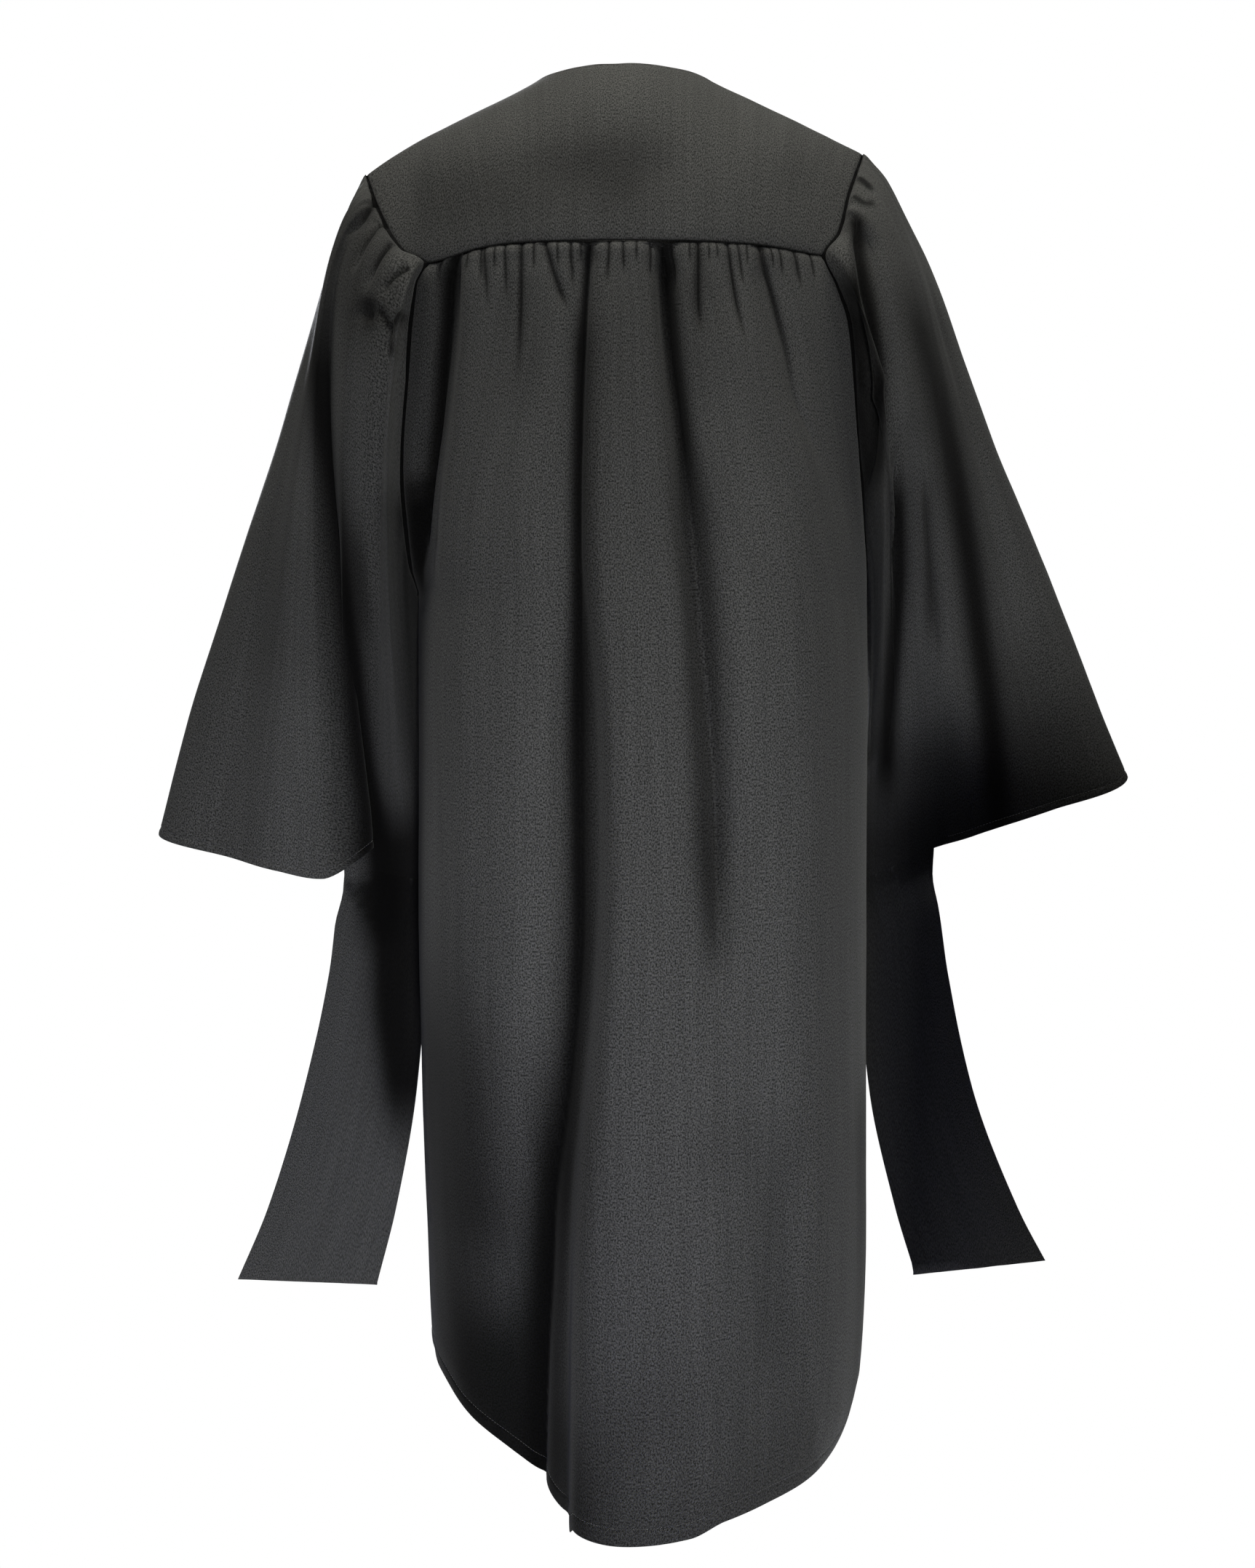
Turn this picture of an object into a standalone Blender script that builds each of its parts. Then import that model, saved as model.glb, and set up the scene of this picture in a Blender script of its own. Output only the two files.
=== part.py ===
"""A black graduation gown of the master's pattern, standing open as it is worn.

+Z is up, the front faces -Y and the wearer's left is +X. The origin is the middle of
the neck, where the wearer's shoulders carry the gown. Every cloth piece is a thin wall
through a grid of points, and a form function works each point out from two shares, one
across the piece and one down it, with the sizes and tables below. Sizes are in metres.
"""
import math
from collections import namedtuple

import bmesh
import bpy
import numpy as np
from mathutils import Matrix

WALL = 0.0015
SEAM = 0.0003
SEWN_SLACK = 0.0023
YOKE_SLACK = 0.0020
CLOTH_COLOUR = (0.012, 0.012, 0.013)
ZIP_COLOUR = (0.008, 0.008, 0.008)
METAL_COLOUR = (0.35, 0.34, 0.32)

# Neck and shoulders.
NECK_MIDDLE = 0.003
NECK_HALF_WIDTH = 0.080
NECK_HEIGHT = 0.0217
NECK_BACK_DEPTH = 0.057
NECK_BACK_DROP = 0.003
NECK_FRONT_DEPTH = 0.100
NECK_FRONT_DROP = 0.080
NECK_POWER = 2.2
NECK_FULLNESS = 0.8
SHOULDER_Y = -0.002
SHOULDER_SEAM = 0.0008
SHOULDER_RISE = {"left": 0.008, "right": 0.001}
YOKE_NECK_SHARE = 0.29
FRONT_NECK_SHARE = 0.55

# The gathered seam between the yoke and the back panel.
SEAM_HEIGHT = -0.150
CORNER_DROP = {"left": 0.011, "right": 0.004}
CORNER_REACH = 0.12
EDGE_REACH = 0.20
ZIP_REACH = 0.07
YOKE_STRAIGHT_FALL = 0.30

# The line down each side of the body: the armhole, then the side seam. Heights are z.
Side = namedtuple("Side", "height back_x back_y front_x front_y")
SIDES = {
    "left": [
        Side(-0.064, 0.247, -0.002, 0.247, -0.002),
        Side(-0.110, 0.228, 0.036, 0.239, -0.038),
        Side(-0.146, 0.206, 0.060, 0.228, -0.054),
        Side(-0.161, 0.183, 0.073, 0.222, -0.060),
        Side(-0.180, 0.192, 0.071, 0.215, -0.066),
        Side(-0.260, 0.204, 0.052, 0.206, -0.072),
        Side(-0.360, 0.214, 0.022, 0.208, -0.062),
        Side(-0.430, 0.210, 0.000, 0.209, -0.045),
        Side(-0.460, 0.205, -0.025, 0.205, -0.025),
        Side(-0.600, 0.206, -0.026, 0.206, -0.026),
        Side(-0.850, 0.207, -0.026, 0.207, -0.026),
        Side(-1.100, 0.202, -0.026, 0.202, -0.026),
        Side(-1.300, 0.197, -0.027, 0.197, -0.027)],
    "right": [
        Side(-0.045, -0.222, -0.002, -0.222, -0.002),
        Side(-0.090, -0.2045, 0.036, -0.218, -0.035),
        Side(-0.130, -0.193, 0.057, -0.212, -0.052),
        Side(-0.154, -0.178, 0.071, -0.208, -0.060),
        Side(-0.180, -0.190, 0.069, -0.204, -0.065),
        Side(-0.214, -0.2036, 0.062, -0.202, -0.069),
        Side(-0.290, -0.2135, 0.046, -0.204, -0.070),
        Side(-0.387, -0.2250, 0.018, -0.214, -0.060),
        Side(-0.430, -0.2310, 0.000, -0.224, -0.045),
        Side(-0.460, -0.2350, -0.025, -0.235, -0.025),
        Side(-0.600, -0.237, -0.026, -0.237, -0.026),
        Side(-0.850, -0.238, -0.026, -0.238, -0.026),
        Side(-1.100, -0.241, -0.026, -0.241, -0.026),
        Side(-1.220, -0.237, -0.026, -0.237, -0.026),
        Side(-1.300, -0.214, -0.026, -0.214, -0.026)]}
YOKE_CORNER = {"left": -0.161, "right": -0.154}
SHOULDER_TIP = {"left": (0.247, -0.064), "right": (-0.222, -0.045)}

# How far the body stands out behind and in front, by height.
Depth = namedtuple("Depth", "height back front")
DEPTHS = [
    Depth(-0.058, 0.105, -0.100), Depth(-0.150, 0.116, -0.113), Depth(-0.200, 0.121, -0.120),
    Depth(-0.300, 0.129, -0.130), Depth(-0.450, 0.141, -0.141), Depth(-0.600, 0.155, -0.150),
    Depth(-0.800, 0.175, -0.163), Depth(-1.000, 0.197, -0.178), Depth(-1.200, 0.222, -0.195),
    Depth(-1.300, 0.240, -0.205)]
SECTION_POWER = 2.4
# The back's section is flattest above one height and round below the other.
FLAT_ABOVE = -0.150
ROUND_BELOW = -0.550

# The hem's height, by the share across from the left side seam to the right one.
Hem = namedtuple("Hem", "share height")
BACK_HEM = [
    Hem(0.00, -1.222), Hem(0.10, -1.216), Hem(0.19, -1.244), Hem(0.25, -1.265),
    Hem(0.335, -1.298), Hem(0.375, -1.296), Hem(0.40, -1.286), Hem(0.47, -1.288),
    Hem(0.565, -1.284), Hem(0.61, -1.275), Hem(0.77, -1.269), Hem(0.86, -1.264),
    Hem(1.00, -1.264)]
FRONT_HEM = {"left": (-1.222, -1.236), "right": (-1.264, -1.236)}

# A fold runs down through its path of (height, x) places. A positive depth is a trough.
# Its width holds at its top and grows by this share down to its low end.
FOLD_WIDENING = 1.4
Fold = namedtuple("Fold", "name path width left right depth_top depth_low fade_top fade_low")
BACK_FOLDS = [
    Fold("left trough", [(-0.155, 0.158), (-0.228, 0.163), (-0.293, 0.174), (-0.380, 0.190),
                         (-0.480, 0.200)], 0.008, 1.3, 0.9, 0.012, 0.016, 0.02, 0.08),
    Fold("middle trough", [(-0.156, 0.032), (-0.237, 0.036), (-0.406, 0.044), (-0.514, 0.040),
                           (-0.674, 0.036), (-0.829, 0.046), (-0.985, 0.066), (-1.142, 0.080),
                           (-1.300, 0.092)], 0.013, 1.8, 0.8, 0.010, 0.040, 0.02, 0.01),
    Fold("inner right trough", [(-0.161, -0.032), (-0.279, -0.041), (-0.403, -0.056),
                                (-0.599, -0.076), (-0.793, -0.080)],
         0.010, 1.0, 1.2, 0.009, 0.009, 0.02, 0.15),
    Fold("outer right trough", [(-0.162, -0.119), (-0.251, -0.139), (-0.332, -0.166),
                                (-0.400, -0.195)], 0.010, 1.0, 1.3, 0.010, 0.006, 0.02, 0.08),
    Fold("low left hollow", [(-0.760, 0.182), (-0.998, 0.168), (-1.300, 0.140)],
         0.022, 1.0, 1.2, 0.004, 0.012, 0.15, 0.01),
    Fold("low right hollow", [(-0.800, -0.120), (-1.075, -0.133), (-1.300, -0.148)],
         0.024, 1.0, 1.0, 0.004, 0.010, 0.2, 0.01),
    Fold("centre ridge", [(-0.170, 0.008), (-0.770, 0.006), (-1.300, 0.020)],
         0.022, 1.0, 1.0, -0.003, -0.008, 0.05, 0.01),
    Fold("right ridge", [(-0.190, -0.092), (-0.449, -0.115), (-0.900, -0.035), (-1.300, -0.045)],
         0.026, 1.0, 1.0, -0.004, -0.008, 0.06, 0.01)]

# The gathers below the yoke: where each crease starts, how deep it is and how far it runs.
Gather = namedtuple("Gather", "x depth length")
GATHERS = [
    Gather(0.170, 0.0020, 0.05), Gather(0.155, 0.0040, 0.10), Gather(0.143, 0.0015, 0.04),
    Gather(0.128, 0.0030, 0.09), Gather(0.118, 0.0015, 0.05), Gather(0.109, 0.0030, 0.07),
    Gather(0.094, 0.0030, 0.12), Gather(0.083, 0.0020, 0.05), Gather(0.073, 0.0030, 0.09),
    Gather(0.062, 0.0015, 0.05), Gather(0.050, 0.0025, 0.06), Gather(0.032, 0.0045, 0.12),
    Gather(0.016, 0.0025, 0.07), Gather(0.004, 0.0030, 0.09), Gather(-0.008, 0.0015, 0.05),
    Gather(-0.020, 0.0030, 0.08), Gather(-0.029, 0.0030, 0.10), Gather(-0.039, 0.0035, 0.11),
    Gather(-0.051, 0.0015, 0.05), Gather(-0.063, 0.0030, 0.13), Gather(-0.076, 0.0015, 0.05),
    Gather(-0.088, 0.0030, 0.13), Gather(-0.097, 0.0020, 0.06), Gather(-0.107, 0.0015, 0.05),
    Gather(-0.117, 0.0040, 0.12), Gather(-0.136, 0.0025, 0.08), Gather(-0.149, 0.0020, 0.07),
    Gather(-0.163, 0.0025, 0.09)]
GATHER_WIDTH = 0.0042
GATHER_FAN = 1.2
GATHER_FAN_REACH = 0.12
GATHER_LEAN = 0.25
GATHER_START = 0.014

# How far below its upper edge a front panel reaches its full width and its full depth.
FRONT_WIDTH_REACH = 0.16
FRONT_DEPTH_REACH = 0.11

FRONT_FOLDS = {
    "left": [
        Fold("side trough", [(-0.300, 0.150), (-0.700, 0.158), (-1.300, 0.150)],
             0.020, 1.0, 1.0, 0.004, 0.016, 0.20, 0.01),
        Fold("middle trough", [(-0.200, 0.088), (-0.700, 0.092), (-1.300, 0.085)],
             0.018, 1.3, 0.9, 0.003, 0.020, 0.20, 0.01)],
    "right": [
        Fold("side trough", [(-0.300, -0.160), (-0.700, -0.178), (-1.300, -0.172)],
             0.020, 1.0, 1.0, 0.004, 0.018, 0.20, 0.01),
        Fold("middle trough", [(-0.180, -0.080), (-0.700, -0.100), (-1.300, -0.108)],
             0.018, 0.9, 1.3, 0.003, 0.018, 0.20, 0.01)]}

# A sleeve layer, by the share across from the underarm seam to the outer seam: where each
# thread leaves the armhole, where it meets the hem's level, and how far it bows out.
Thread = namedtuple("Thread", "share head_height hem_x hem_y hem_height bow_x bow_y")
SLIT_SHARE = 0.44
SLEEVES = {
    ("left", "back"): [
        Thread(0.00, -0.460, 0.208, -0.098, -0.757, 0.001, 0.000),
        Thread(0.20, -0.270, 0.236, -0.085, -0.750, 0.010, 0.045),
        Thread(0.33, -0.158, 0.262, -0.078, -0.742, 0.016, 0.048),
        Thread(0.44, -0.130, 0.292, -0.070, -0.735, 0.022, 0.050),
        Thread(0.52, -0.110, 0.256, -0.035, -0.713, 0.045, 0.014),
        Thread(0.60, -0.096, 0.300, 0.004, -0.738, 0.040, 0.028),
        Thread(0.70, -0.084, 0.345, 0.010, -0.729, 0.030, 0.030),
        Thread(0.85, -0.073, 0.410, -0.012, -0.714, 0.016, 0.020),
        Thread(1.00, -0.064, 0.472, -0.040, -0.699, 0.007, 0.000)],
    ("left", "front"): [
        Thread(0.00, -0.460, 0.208, -0.098, -0.757, 0.001, 0.000),
        Thread(0.20, -0.300, 0.236, -0.104, -0.750, 0.012, -0.024),
        Thread(0.33, -0.200, 0.262, -0.098, -0.742, 0.022, -0.030),
        Thread(0.44, -0.160, 0.292, -0.075, -0.735, 0.026, -0.040),
        Thread(0.56, -0.120, 0.300, -0.106, -0.740, 0.032, -0.020),
        Thread(0.70, -0.096, 0.345, -0.104, -0.729, 0.028, -0.018),
        Thread(0.85, -0.078, 0.410, -0.076, -0.714, 0.016, -0.014),
        Thread(1.00, -0.064, 0.472, -0.040, -0.699, 0.007, 0.000)],
    ("right", "back"): [
        Thread(0.00, -0.460, -0.242, -0.100, -0.757, 0.0015, 0.000),
        Thread(0.05, -0.408, -0.247, -0.097, -0.754, 0.008, 0.011),
        Thread(0.20, -0.270, -0.264, -0.082, -0.744, 0.015, 0.042),
        Thread(0.33, -0.150, -0.288, -0.066, -0.729, 0.028, 0.046),
        Thread(0.44, -0.118, -0.310, -0.043, -0.714, 0.030, 0.046),
        Thread(0.58, -0.084, -0.343, -0.004, -0.696, 0.034, 0.034),
        Thread(0.70, -0.064, -0.385, 0.002, -0.681, 0.030, 0.028),
        Thread(0.85, -0.053, -0.442, -0.014, -0.664, 0.022, 0.018),
        Thread(1.00, -0.045, -0.502, -0.040, -0.641, 0.014, 0.000)],
    ("right", "front"): [
        Thread(0.00, -0.460, -0.242, -0.100, -0.757, 0.0015, 0.000),
        Thread(0.20, -0.300, -0.264, -0.106, -0.744, 0.014, -0.022),
        Thread(0.33, -0.190, -0.288, -0.090, -0.729, 0.026, -0.032),
        Thread(0.44, -0.145, -0.310, -0.048, -0.714, 0.030, -0.052),
        Thread(0.58, -0.100, -0.343, -0.082, -0.696, 0.032, -0.032),
        Thread(0.70, -0.076, -0.385, -0.088, -0.681, 0.028, -0.022),
        Thread(0.85, -0.058, -0.442, -0.072, -0.664, 0.022, -0.016),
        Thread(1.00, -0.045, -0.502, -0.040, -0.641, 0.014, 0.000)]}

# The sleeve's outer seam from the shoulder tip to the wrist's corner.
Edge = namedtuple("Edge", "height x")
OUTER_SEAMS = {
    "left": [Edge(-0.064, 0.247), Edge(-0.078, 0.255), Edge(-0.129, 0.274), Edge(-0.183, 0.295),
             Edge(-0.264, 0.323), Edge(-0.315, 0.340), Edge(-0.404, 0.374), Edge(-0.489, 0.405),
             Edge(-0.576, 0.436), Edge(-0.699, 0.473)],
    "right": [Edge(-0.045, -0.222), Edge(-0.061, -0.240), Edge(-0.102, -0.264),
              Edge(-0.155, -0.292), Edge(-0.237, -0.325), Edge(-0.319, -0.358),
              Edge(-0.404, -0.398), Edge(-0.489, -0.436), Edge(-0.576, -0.474),
              Edge(-0.641, -0.503)]}

# The hanging tail below the wrist, by height: its outer arc and its inner seam.
Tail = namedtuple("Tail", "height outer_x inner_x middle_y")
TAILS = {
    "left": [Tail(-0.740, 0.294, 0.208, -0.085), Tail(-0.790, 0.305, 0.209, -0.092),
             Tail(-0.854, 0.315, 0.212, -0.098), Tail(-0.982, 0.345, 0.224, -0.100),
             Tail(-1.112, 0.386, 0.248, -0.100), Tail(-1.196, 0.422, 0.270, -0.100)],
    "right": [Tail(-0.735, -0.314, -0.241, -0.078), Tail(-0.790, -0.327, -0.242, -0.090),
              Tail(-0.854, -0.338, -0.244, -0.096), Tail(-0.982, -0.368, -0.257, -0.100),
              Tail(-1.112, -0.419, -0.287, -0.100), Tail(-1.180, -0.455, -0.308, -0.100)]}
TAIL_END = {"left": (-1.192, -1.198), "right": (-1.171, -1.187)}
TAIL_PUFF = 0.010

SLEEVE_FOLDS = {
    ("left", "back"): [
        Fold("outer trough", [(-0.165, 0.282), (-0.264, 0.285), (-0.320, 0.288), (-0.460, 0.274),
                              (-0.600, 0.258), (-0.712, 0.250)],
             0.014, 1.4, 0.8, 0.010, 0.012, 0.08, 0.05)],
    ("left", "front"): [
        Fold("outer trough", [(-0.220, 0.282), (-0.460, 0.292), (-0.700, 0.310)],
             0.018, 1.0, 1.0, 0.008, 0.010, 0.10, 0.05)],
    ("right", "back"): [
        Fold("inner trough", [(-0.118, -0.214), (-0.187, -0.225), (-0.246, -0.232),
                              (-0.310, -0.226), (-0.380, -0.222)],
             0.009, 1.0, 1.3, 0.012, 0.012, 0.03, 0.08),
        Fold("second trough", [(-0.290, -0.262), (-0.400, -0.258), (-0.480, -0.257),
                               (-0.640, -0.247)], 0.010, 1.0, 1.2, 0.012, 0.014, 0.07, 0.06),
        Fold("third trough", [(-0.330, -0.286), (-0.440, -0.293), (-0.540, -0.298)],
             0.007, 1.0, 1.0, 0.006, 0.005, 0.08, 0.08),
        Fold("wide trough", [(-0.150, -0.265), (-0.240, -0.298), (-0.380, -0.326),
                             (-0.490, -0.346), (-0.600, -0.352)],
             0.016, 1.2, 1.0, 0.009, 0.010, 0.08, 0.12)],
    ("right", "front"): [
        Fold("outer trough", [(-0.220, -0.280), (-0.440, -0.312), (-0.640, -0.345)],
             0.018, 1.0, 1.0, 0.008, 0.010, 0.10, 0.05)]}

# Puckers where the sleeve head is gathered into the armhole.
HEAD_PUCKERS = 9
PUCKER_DEPTH = 0.0030
PUCKER_REACH = 0.28

# The zip at the centre front.
PANEL_EDGE = 0.0040
TAPE_INNER = 0.0023
TAPE_WIDTH = 0.0085
TAPE_WALL = 0.0010
CHAIN_HALF_WIDTH = 0.0020
CHAIN_WALL = 0.0016
ZIP_TOP = -0.078
ZIP_FOOT = -1.180
SLIDER_TOP = -0.084
SLIDER_HEIGHT = 0.0120
SLIDER_WIDTH = 0.0070
SLIDER_DEPTH = 0.0046
BRIDGE_WIDTH = 0.0020
BRIDGE_HEIGHT = 0.0052
BRIDGE_STAND = 0.0026
BRIDGE_BAR = 0.0008
PIN_RADIUS = 0.0006
EYE_GAP = 0.0004
EYE_BAR = 0.0012
LAP = 0.0002
TAB_WALL = 0.0010
TAB_WIDTH = 0.0056
TAB_LENGTH = 0.0240
TAB_EYE = 0.0050
PLATE_WALL = 0.00102
LEAN_REACH = 0.03

CENTRE_TOP_X = 0.003
CENTRE_FOOT_X = -0.018

# Grid of each piece: columns across and rows down. Rows crowd together near the top where a
# spread is over one.
YOKE_GRID = (28, 9)
BACK_GRID = (96, 15)
BACK_SPREAD = 1.6
FRONT_GRID = (20, 13)
FRONT_SPREAD = 1.5
SLEEVE_SPREAD = 1.3
SLEEVE_BACK_GRID = (25, 13)
SLEEVE_FRONT_GRID = (16, 11)
TAIL_ROWS = 7
ZIP_ROWS = 22


def smooth(knots, values, at):
    """Values at the places `at`, on a curve through the knots that never overshoots them."""
    knots = np.asarray(knots, float)
    values = np.asarray(values, float)
    if knots[0] > knots[-1]:
        knots = knots[::-1]
        values = values[::-1]
    step = np.diff(knots)
    rise = np.diff(values) / step
    slope = np.empty_like(values)
    slope[0] = rise[0]
    slope[-1] = rise[-1]
    both = rise[:-1] * rise[1:]
    total = rise[:-1] + rise[1:]
    steady = both > 0
    slope[1:-1] = np.where(steady, 2 * both / np.where(steady, total, 1), 0)
    at = np.clip(np.asarray(at, float), knots[0], knots[-1])
    cell = np.clip(np.searchsorted(knots, at, side="right") - 1, 0, len(step) - 1)
    share = (at - knots[cell]) / step[cell]
    left = (1 + 2 * share) * (1 - share) ** 2 * values[cell]
    left += share * (1 - share) ** 2 * step[cell] * slope[cell]
    right = share ** 2 * (3 - 2 * share) * values[cell + 1]
    right += share ** 2 * (share - 1) * step[cell] * slope[cell + 1]
    return left + right


def column(rows, key, name, at):
    """One named column of a table, read smoothly at the places `at` of its key column."""
    knots = [getattr(row, key) for row in rows]
    values = [getattr(row, name) for row in rows]
    return smooth(knots, values, at)


def ramp(low, high, at):
    """Zero below `low`, one above `high`, and a soft step between them."""
    share = np.clip((np.asarray(at, float) - low) / (high - low), 0, 1)
    return share * share * (3 - 2 * share)


def side_line(side, face, height):
    """The x and y of a side's armhole and side seam at a height, on its back or front face."""
    rows = SIDES[side]
    return column(rows, "height", face + "_x", height), column(rows, "height", face + "_y", height)


def row_heights(side, face):
    """The heights of the rows that the body's pieces have down one side."""
    tip = SHOULDER_TIP[side][1]
    if face == "front":
        drops = (np.arange(FRONT_GRID[1] + 1) / FRONT_GRID[1]) ** FRONT_SPREAD
        return tip + (FRONT_HEM[side][0] - tip) * drops
    corner = YOKE_CORNER[side]
    yoke = tip + (corner - tip) * yoke_fall(np.arange(YOKE_GRID[1] + 1) / YOKE_GRID[1])
    drops = (np.arange(BACK_GRID[1] + 1) / BACK_GRID[1]) ** BACK_SPREAD
    hem = BACK_HEM[0 if side == "left" else -1].height
    return np.concatenate([yoke, corner + (hem - corner) * drops[1:]])


def sewn_line(side, face, height):
    """The side line as the body's pieces really run, straight from row to row."""
    heights = row_heights(side, face)[::-1]
    x, y = side_line(side, face, heights)
    return np.interp(height, heights, x), np.interp(height, heights, y)


def yoke_fall(drop):
    """How the yoke's height runs from its upper edge (0) to its seam (1)."""
    curved = 1 - np.cos(drop * math.pi / 2)
    return YOKE_STRAIGHT_FALL * drop + (1 - YOKE_STRAIGHT_FALL) * curved


def fold_shift(folds, x, z):
    """How far in the folds push the cloth at each x and height."""
    shift = np.zeros_like(x)
    for fold in folds:
        heights = [place[0] for place in fold.path]
        centre = smooth(heights, [place[1] for place in fold.path], z)
        top = heights[0]
        low = heights[-1]
        run = np.clip((top - z) / (top - low), 0, 1)
        depth = fold.depth_top + (fold.depth_low - fold.depth_top) * run
        width = fold.width * (1 + FOLD_WIDENING * run)
        offset = (x - centre) / (width * np.where(x > centre, fold.left, fold.right))
        inside = ramp(0, fold.fade_top, top - z) * ramp(0, fold.fade_low, z - low + 0.01)
        shift += depth * inside * np.exp(-offset ** 2)
    return shift


def yoke_seam_height(share):
    """The gathered seam's height, by the share across from left to right."""
    left = CORNER_DROP["left"] * np.exp(-(share / CORNER_REACH) ** 2)
    right = CORNER_DROP["right"] * np.exp(-((1 - share) / CORNER_REACH) ** 2)
    return SEAM_HEIGHT - left - right


def back_section(share, z):
    """A point of the back's plain section at height z: x, y and the outward direction."""
    left_x, left_y = side_line("left", "back", np.minimum(z, YOKE_CORNER["left"]))
    right_x, right_y = side_line("right", "back", np.minimum(z, YOKE_CORNER["right"]))
    roundness = ramp(-FLAT_ABOVE, -ROUND_BELOW, -z)
    across = (1 - roundness) * (1 - 2 * share) + roundness * np.cos(math.pi * share)
    swell = np.maximum(1 - np.abs(across) ** SECTION_POWER, 0) ** (1 - roundness / 2)
    middle = (left_x + right_x) / 2
    half = (left_x - right_x) / 2
    edge_y = left_y + (right_y - left_y) * share
    depth = column(DEPTHS, "height", "back", z) - edge_y
    x = middle + half * across
    y = edge_y + depth * swell
    out_x = across * depth
    out_y = half * np.sqrt(np.maximum(1 - across ** 2, 0)) + 1e-6
    size = np.hypot(out_x, out_y)
    return x, y, out_x / size, out_y / size


def neck_point(across, face):
    """A point of the neck's edge: across is 1 at the wearer's left and -1 at the right."""
    swell = (1 - np.abs(across) ** NECK_POWER) ** NECK_FULLNESS
    x = NECK_MIDDLE + NECK_HALF_WIDTH * across
    if face == "back":
        return x, SHOULDER_Y + NECK_BACK_DEPTH * swell, NECK_HEIGHT - NECK_BACK_DROP * swell
    y = SHOULDER_Y - (NECK_FRONT_DEPTH + SHOULDER_Y) * swell
    return x, y, NECK_HEIGHT - NECK_FRONT_DROP * swell ** 1.2


def shoulder_point(side, share):
    """A point of the shoulder seam: share 0 is the tip over the arm, 1 is the neck."""
    tip_x, tip_z = SHOULDER_TIP[side]
    neck_x = NECK_MIDDLE + (NECK_HALF_WIDTH if side == "left" else -NECK_HALF_WIDTH)
    x = tip_x + (neck_x - tip_x) * share
    line = tip_z + (NECK_HEIGHT - tip_z) * share
    return x, line + SHOULDER_RISE[side] * np.sin(math.pi * share) * (1 - share)


def yoke_top(share):
    """The yoke's upper edge: shoulder seam, neck, shoulder seam."""
    left_x, left_z = shoulder_point("left", np.clip(share / YOKE_NECK_SHARE, 0, 1))
    right_x, right_z = shoulder_point("right", np.clip((1 - share) / YOKE_NECK_SHARE, 0, 1))
    across = 1 - 2 * np.clip((share - YOKE_NECK_SHARE) / (1 - 2 * YOKE_NECK_SHARE), 0, 1)
    neck_x, neck_y, neck_z = neck_point(across, "back")
    on_left = share < YOKE_NECK_SHARE
    on_right = share > 1 - YOKE_NECK_SHARE
    x = np.where(on_left, left_x, np.where(on_right, right_x, neck_x))
    y = np.where(on_left | on_right, SHOULDER_Y, neck_y)
    z = np.where(on_left, left_z, np.where(on_right, right_z, neck_z))
    return x, y, z


def yoke_plain(share, drop):
    """The yoke before its armhole edges are drawn in."""
    top_x, top_y, top_z = yoke_top(share)
    seam_z = yoke_seam_height(share) + SEAM
    seam_x, seam_y, _, _ = back_section(share, seam_z)
    start_y = top_y + SHOULDER_SEAM
    x = top_x + (seam_x - top_x) * drop
    y = start_y + (seam_y - start_y) * np.sin(drop * math.pi / 2)
    return x, y, top_z + (seam_z - top_z) * yoke_fall(drop)


def drawn_to(x, y, hold, edge, target):
    """Points moved by as much as their piece's edge misses its target line."""
    return x + (target[0] - edge[0]) * hold, y + (target[1] - edge[1]) * hold


def yoke_form(share, drop):
    """The back yoke: it rounds over the shoulders from its upper edge to the gathered seam."""
    x, y, z = yoke_plain(share, drop)
    for side, place in (("left", 0.0), ("right", 1.0)):
        edge = yoke_plain(np.full_like(share, place), drop)
        line_x, line_y = side_line(side, "back", edge[2])
        hold = np.clip(1 - np.abs(share - place) / EDGE_REACH, 0, 1) ** 2
        target = (line_x, line_y + SHOULDER_SEAM * (1 - drop))
        x, y = drawn_to(x, y, hold, edge, target)
    return x, y, z


def gather_shift(x, down):
    """How far in the gathers push the cloth, at each x and distance below the yoke."""
    shift = np.zeros_like(x)
    for gather in GATHERS:
        fan = 1 + GATHER_FAN * np.clip(down / GATHER_FAN_REACH, 0, 1)
        offset = (x - gather.x * (1 + GATHER_LEAN * down)) / (GATHER_WIDTH * fan)
        fade = 1 - ramp(0.35 * gather.length, gather.length, down)
        inside = ramp(0, GATHER_START, down) * fade
        shift += gather.depth * inside * np.exp(-offset ** 2)
    return shift


def back_form(share, drop):
    """The back panel: gathered along the yoke, with its main folds down to the hem."""
    top = yoke_seam_height(share) - SEAM
    z = top + (column(BACK_HEM, "share", "height", share) - top) * drop
    x, y, out_x, out_y = back_section(share, z)
    edge = ramp(0, 0.05, share) * ramp(0, 0.05, 1 - share)
    shift = (fold_shift(BACK_FOLDS, x, z) + gather_shift(x, top - z)) * edge
    return x - out_x * shift, y + SEAM - out_y * shift, z


def front_centre(z):
    """The centre front line's x and y at a height."""
    x = CENTRE_TOP_X + (CENTRE_FOOT_X - CENTRE_TOP_X) * ramp(0.06, 1.30, -z)
    return x, column(DEPTHS, "height", "front", z)


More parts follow.
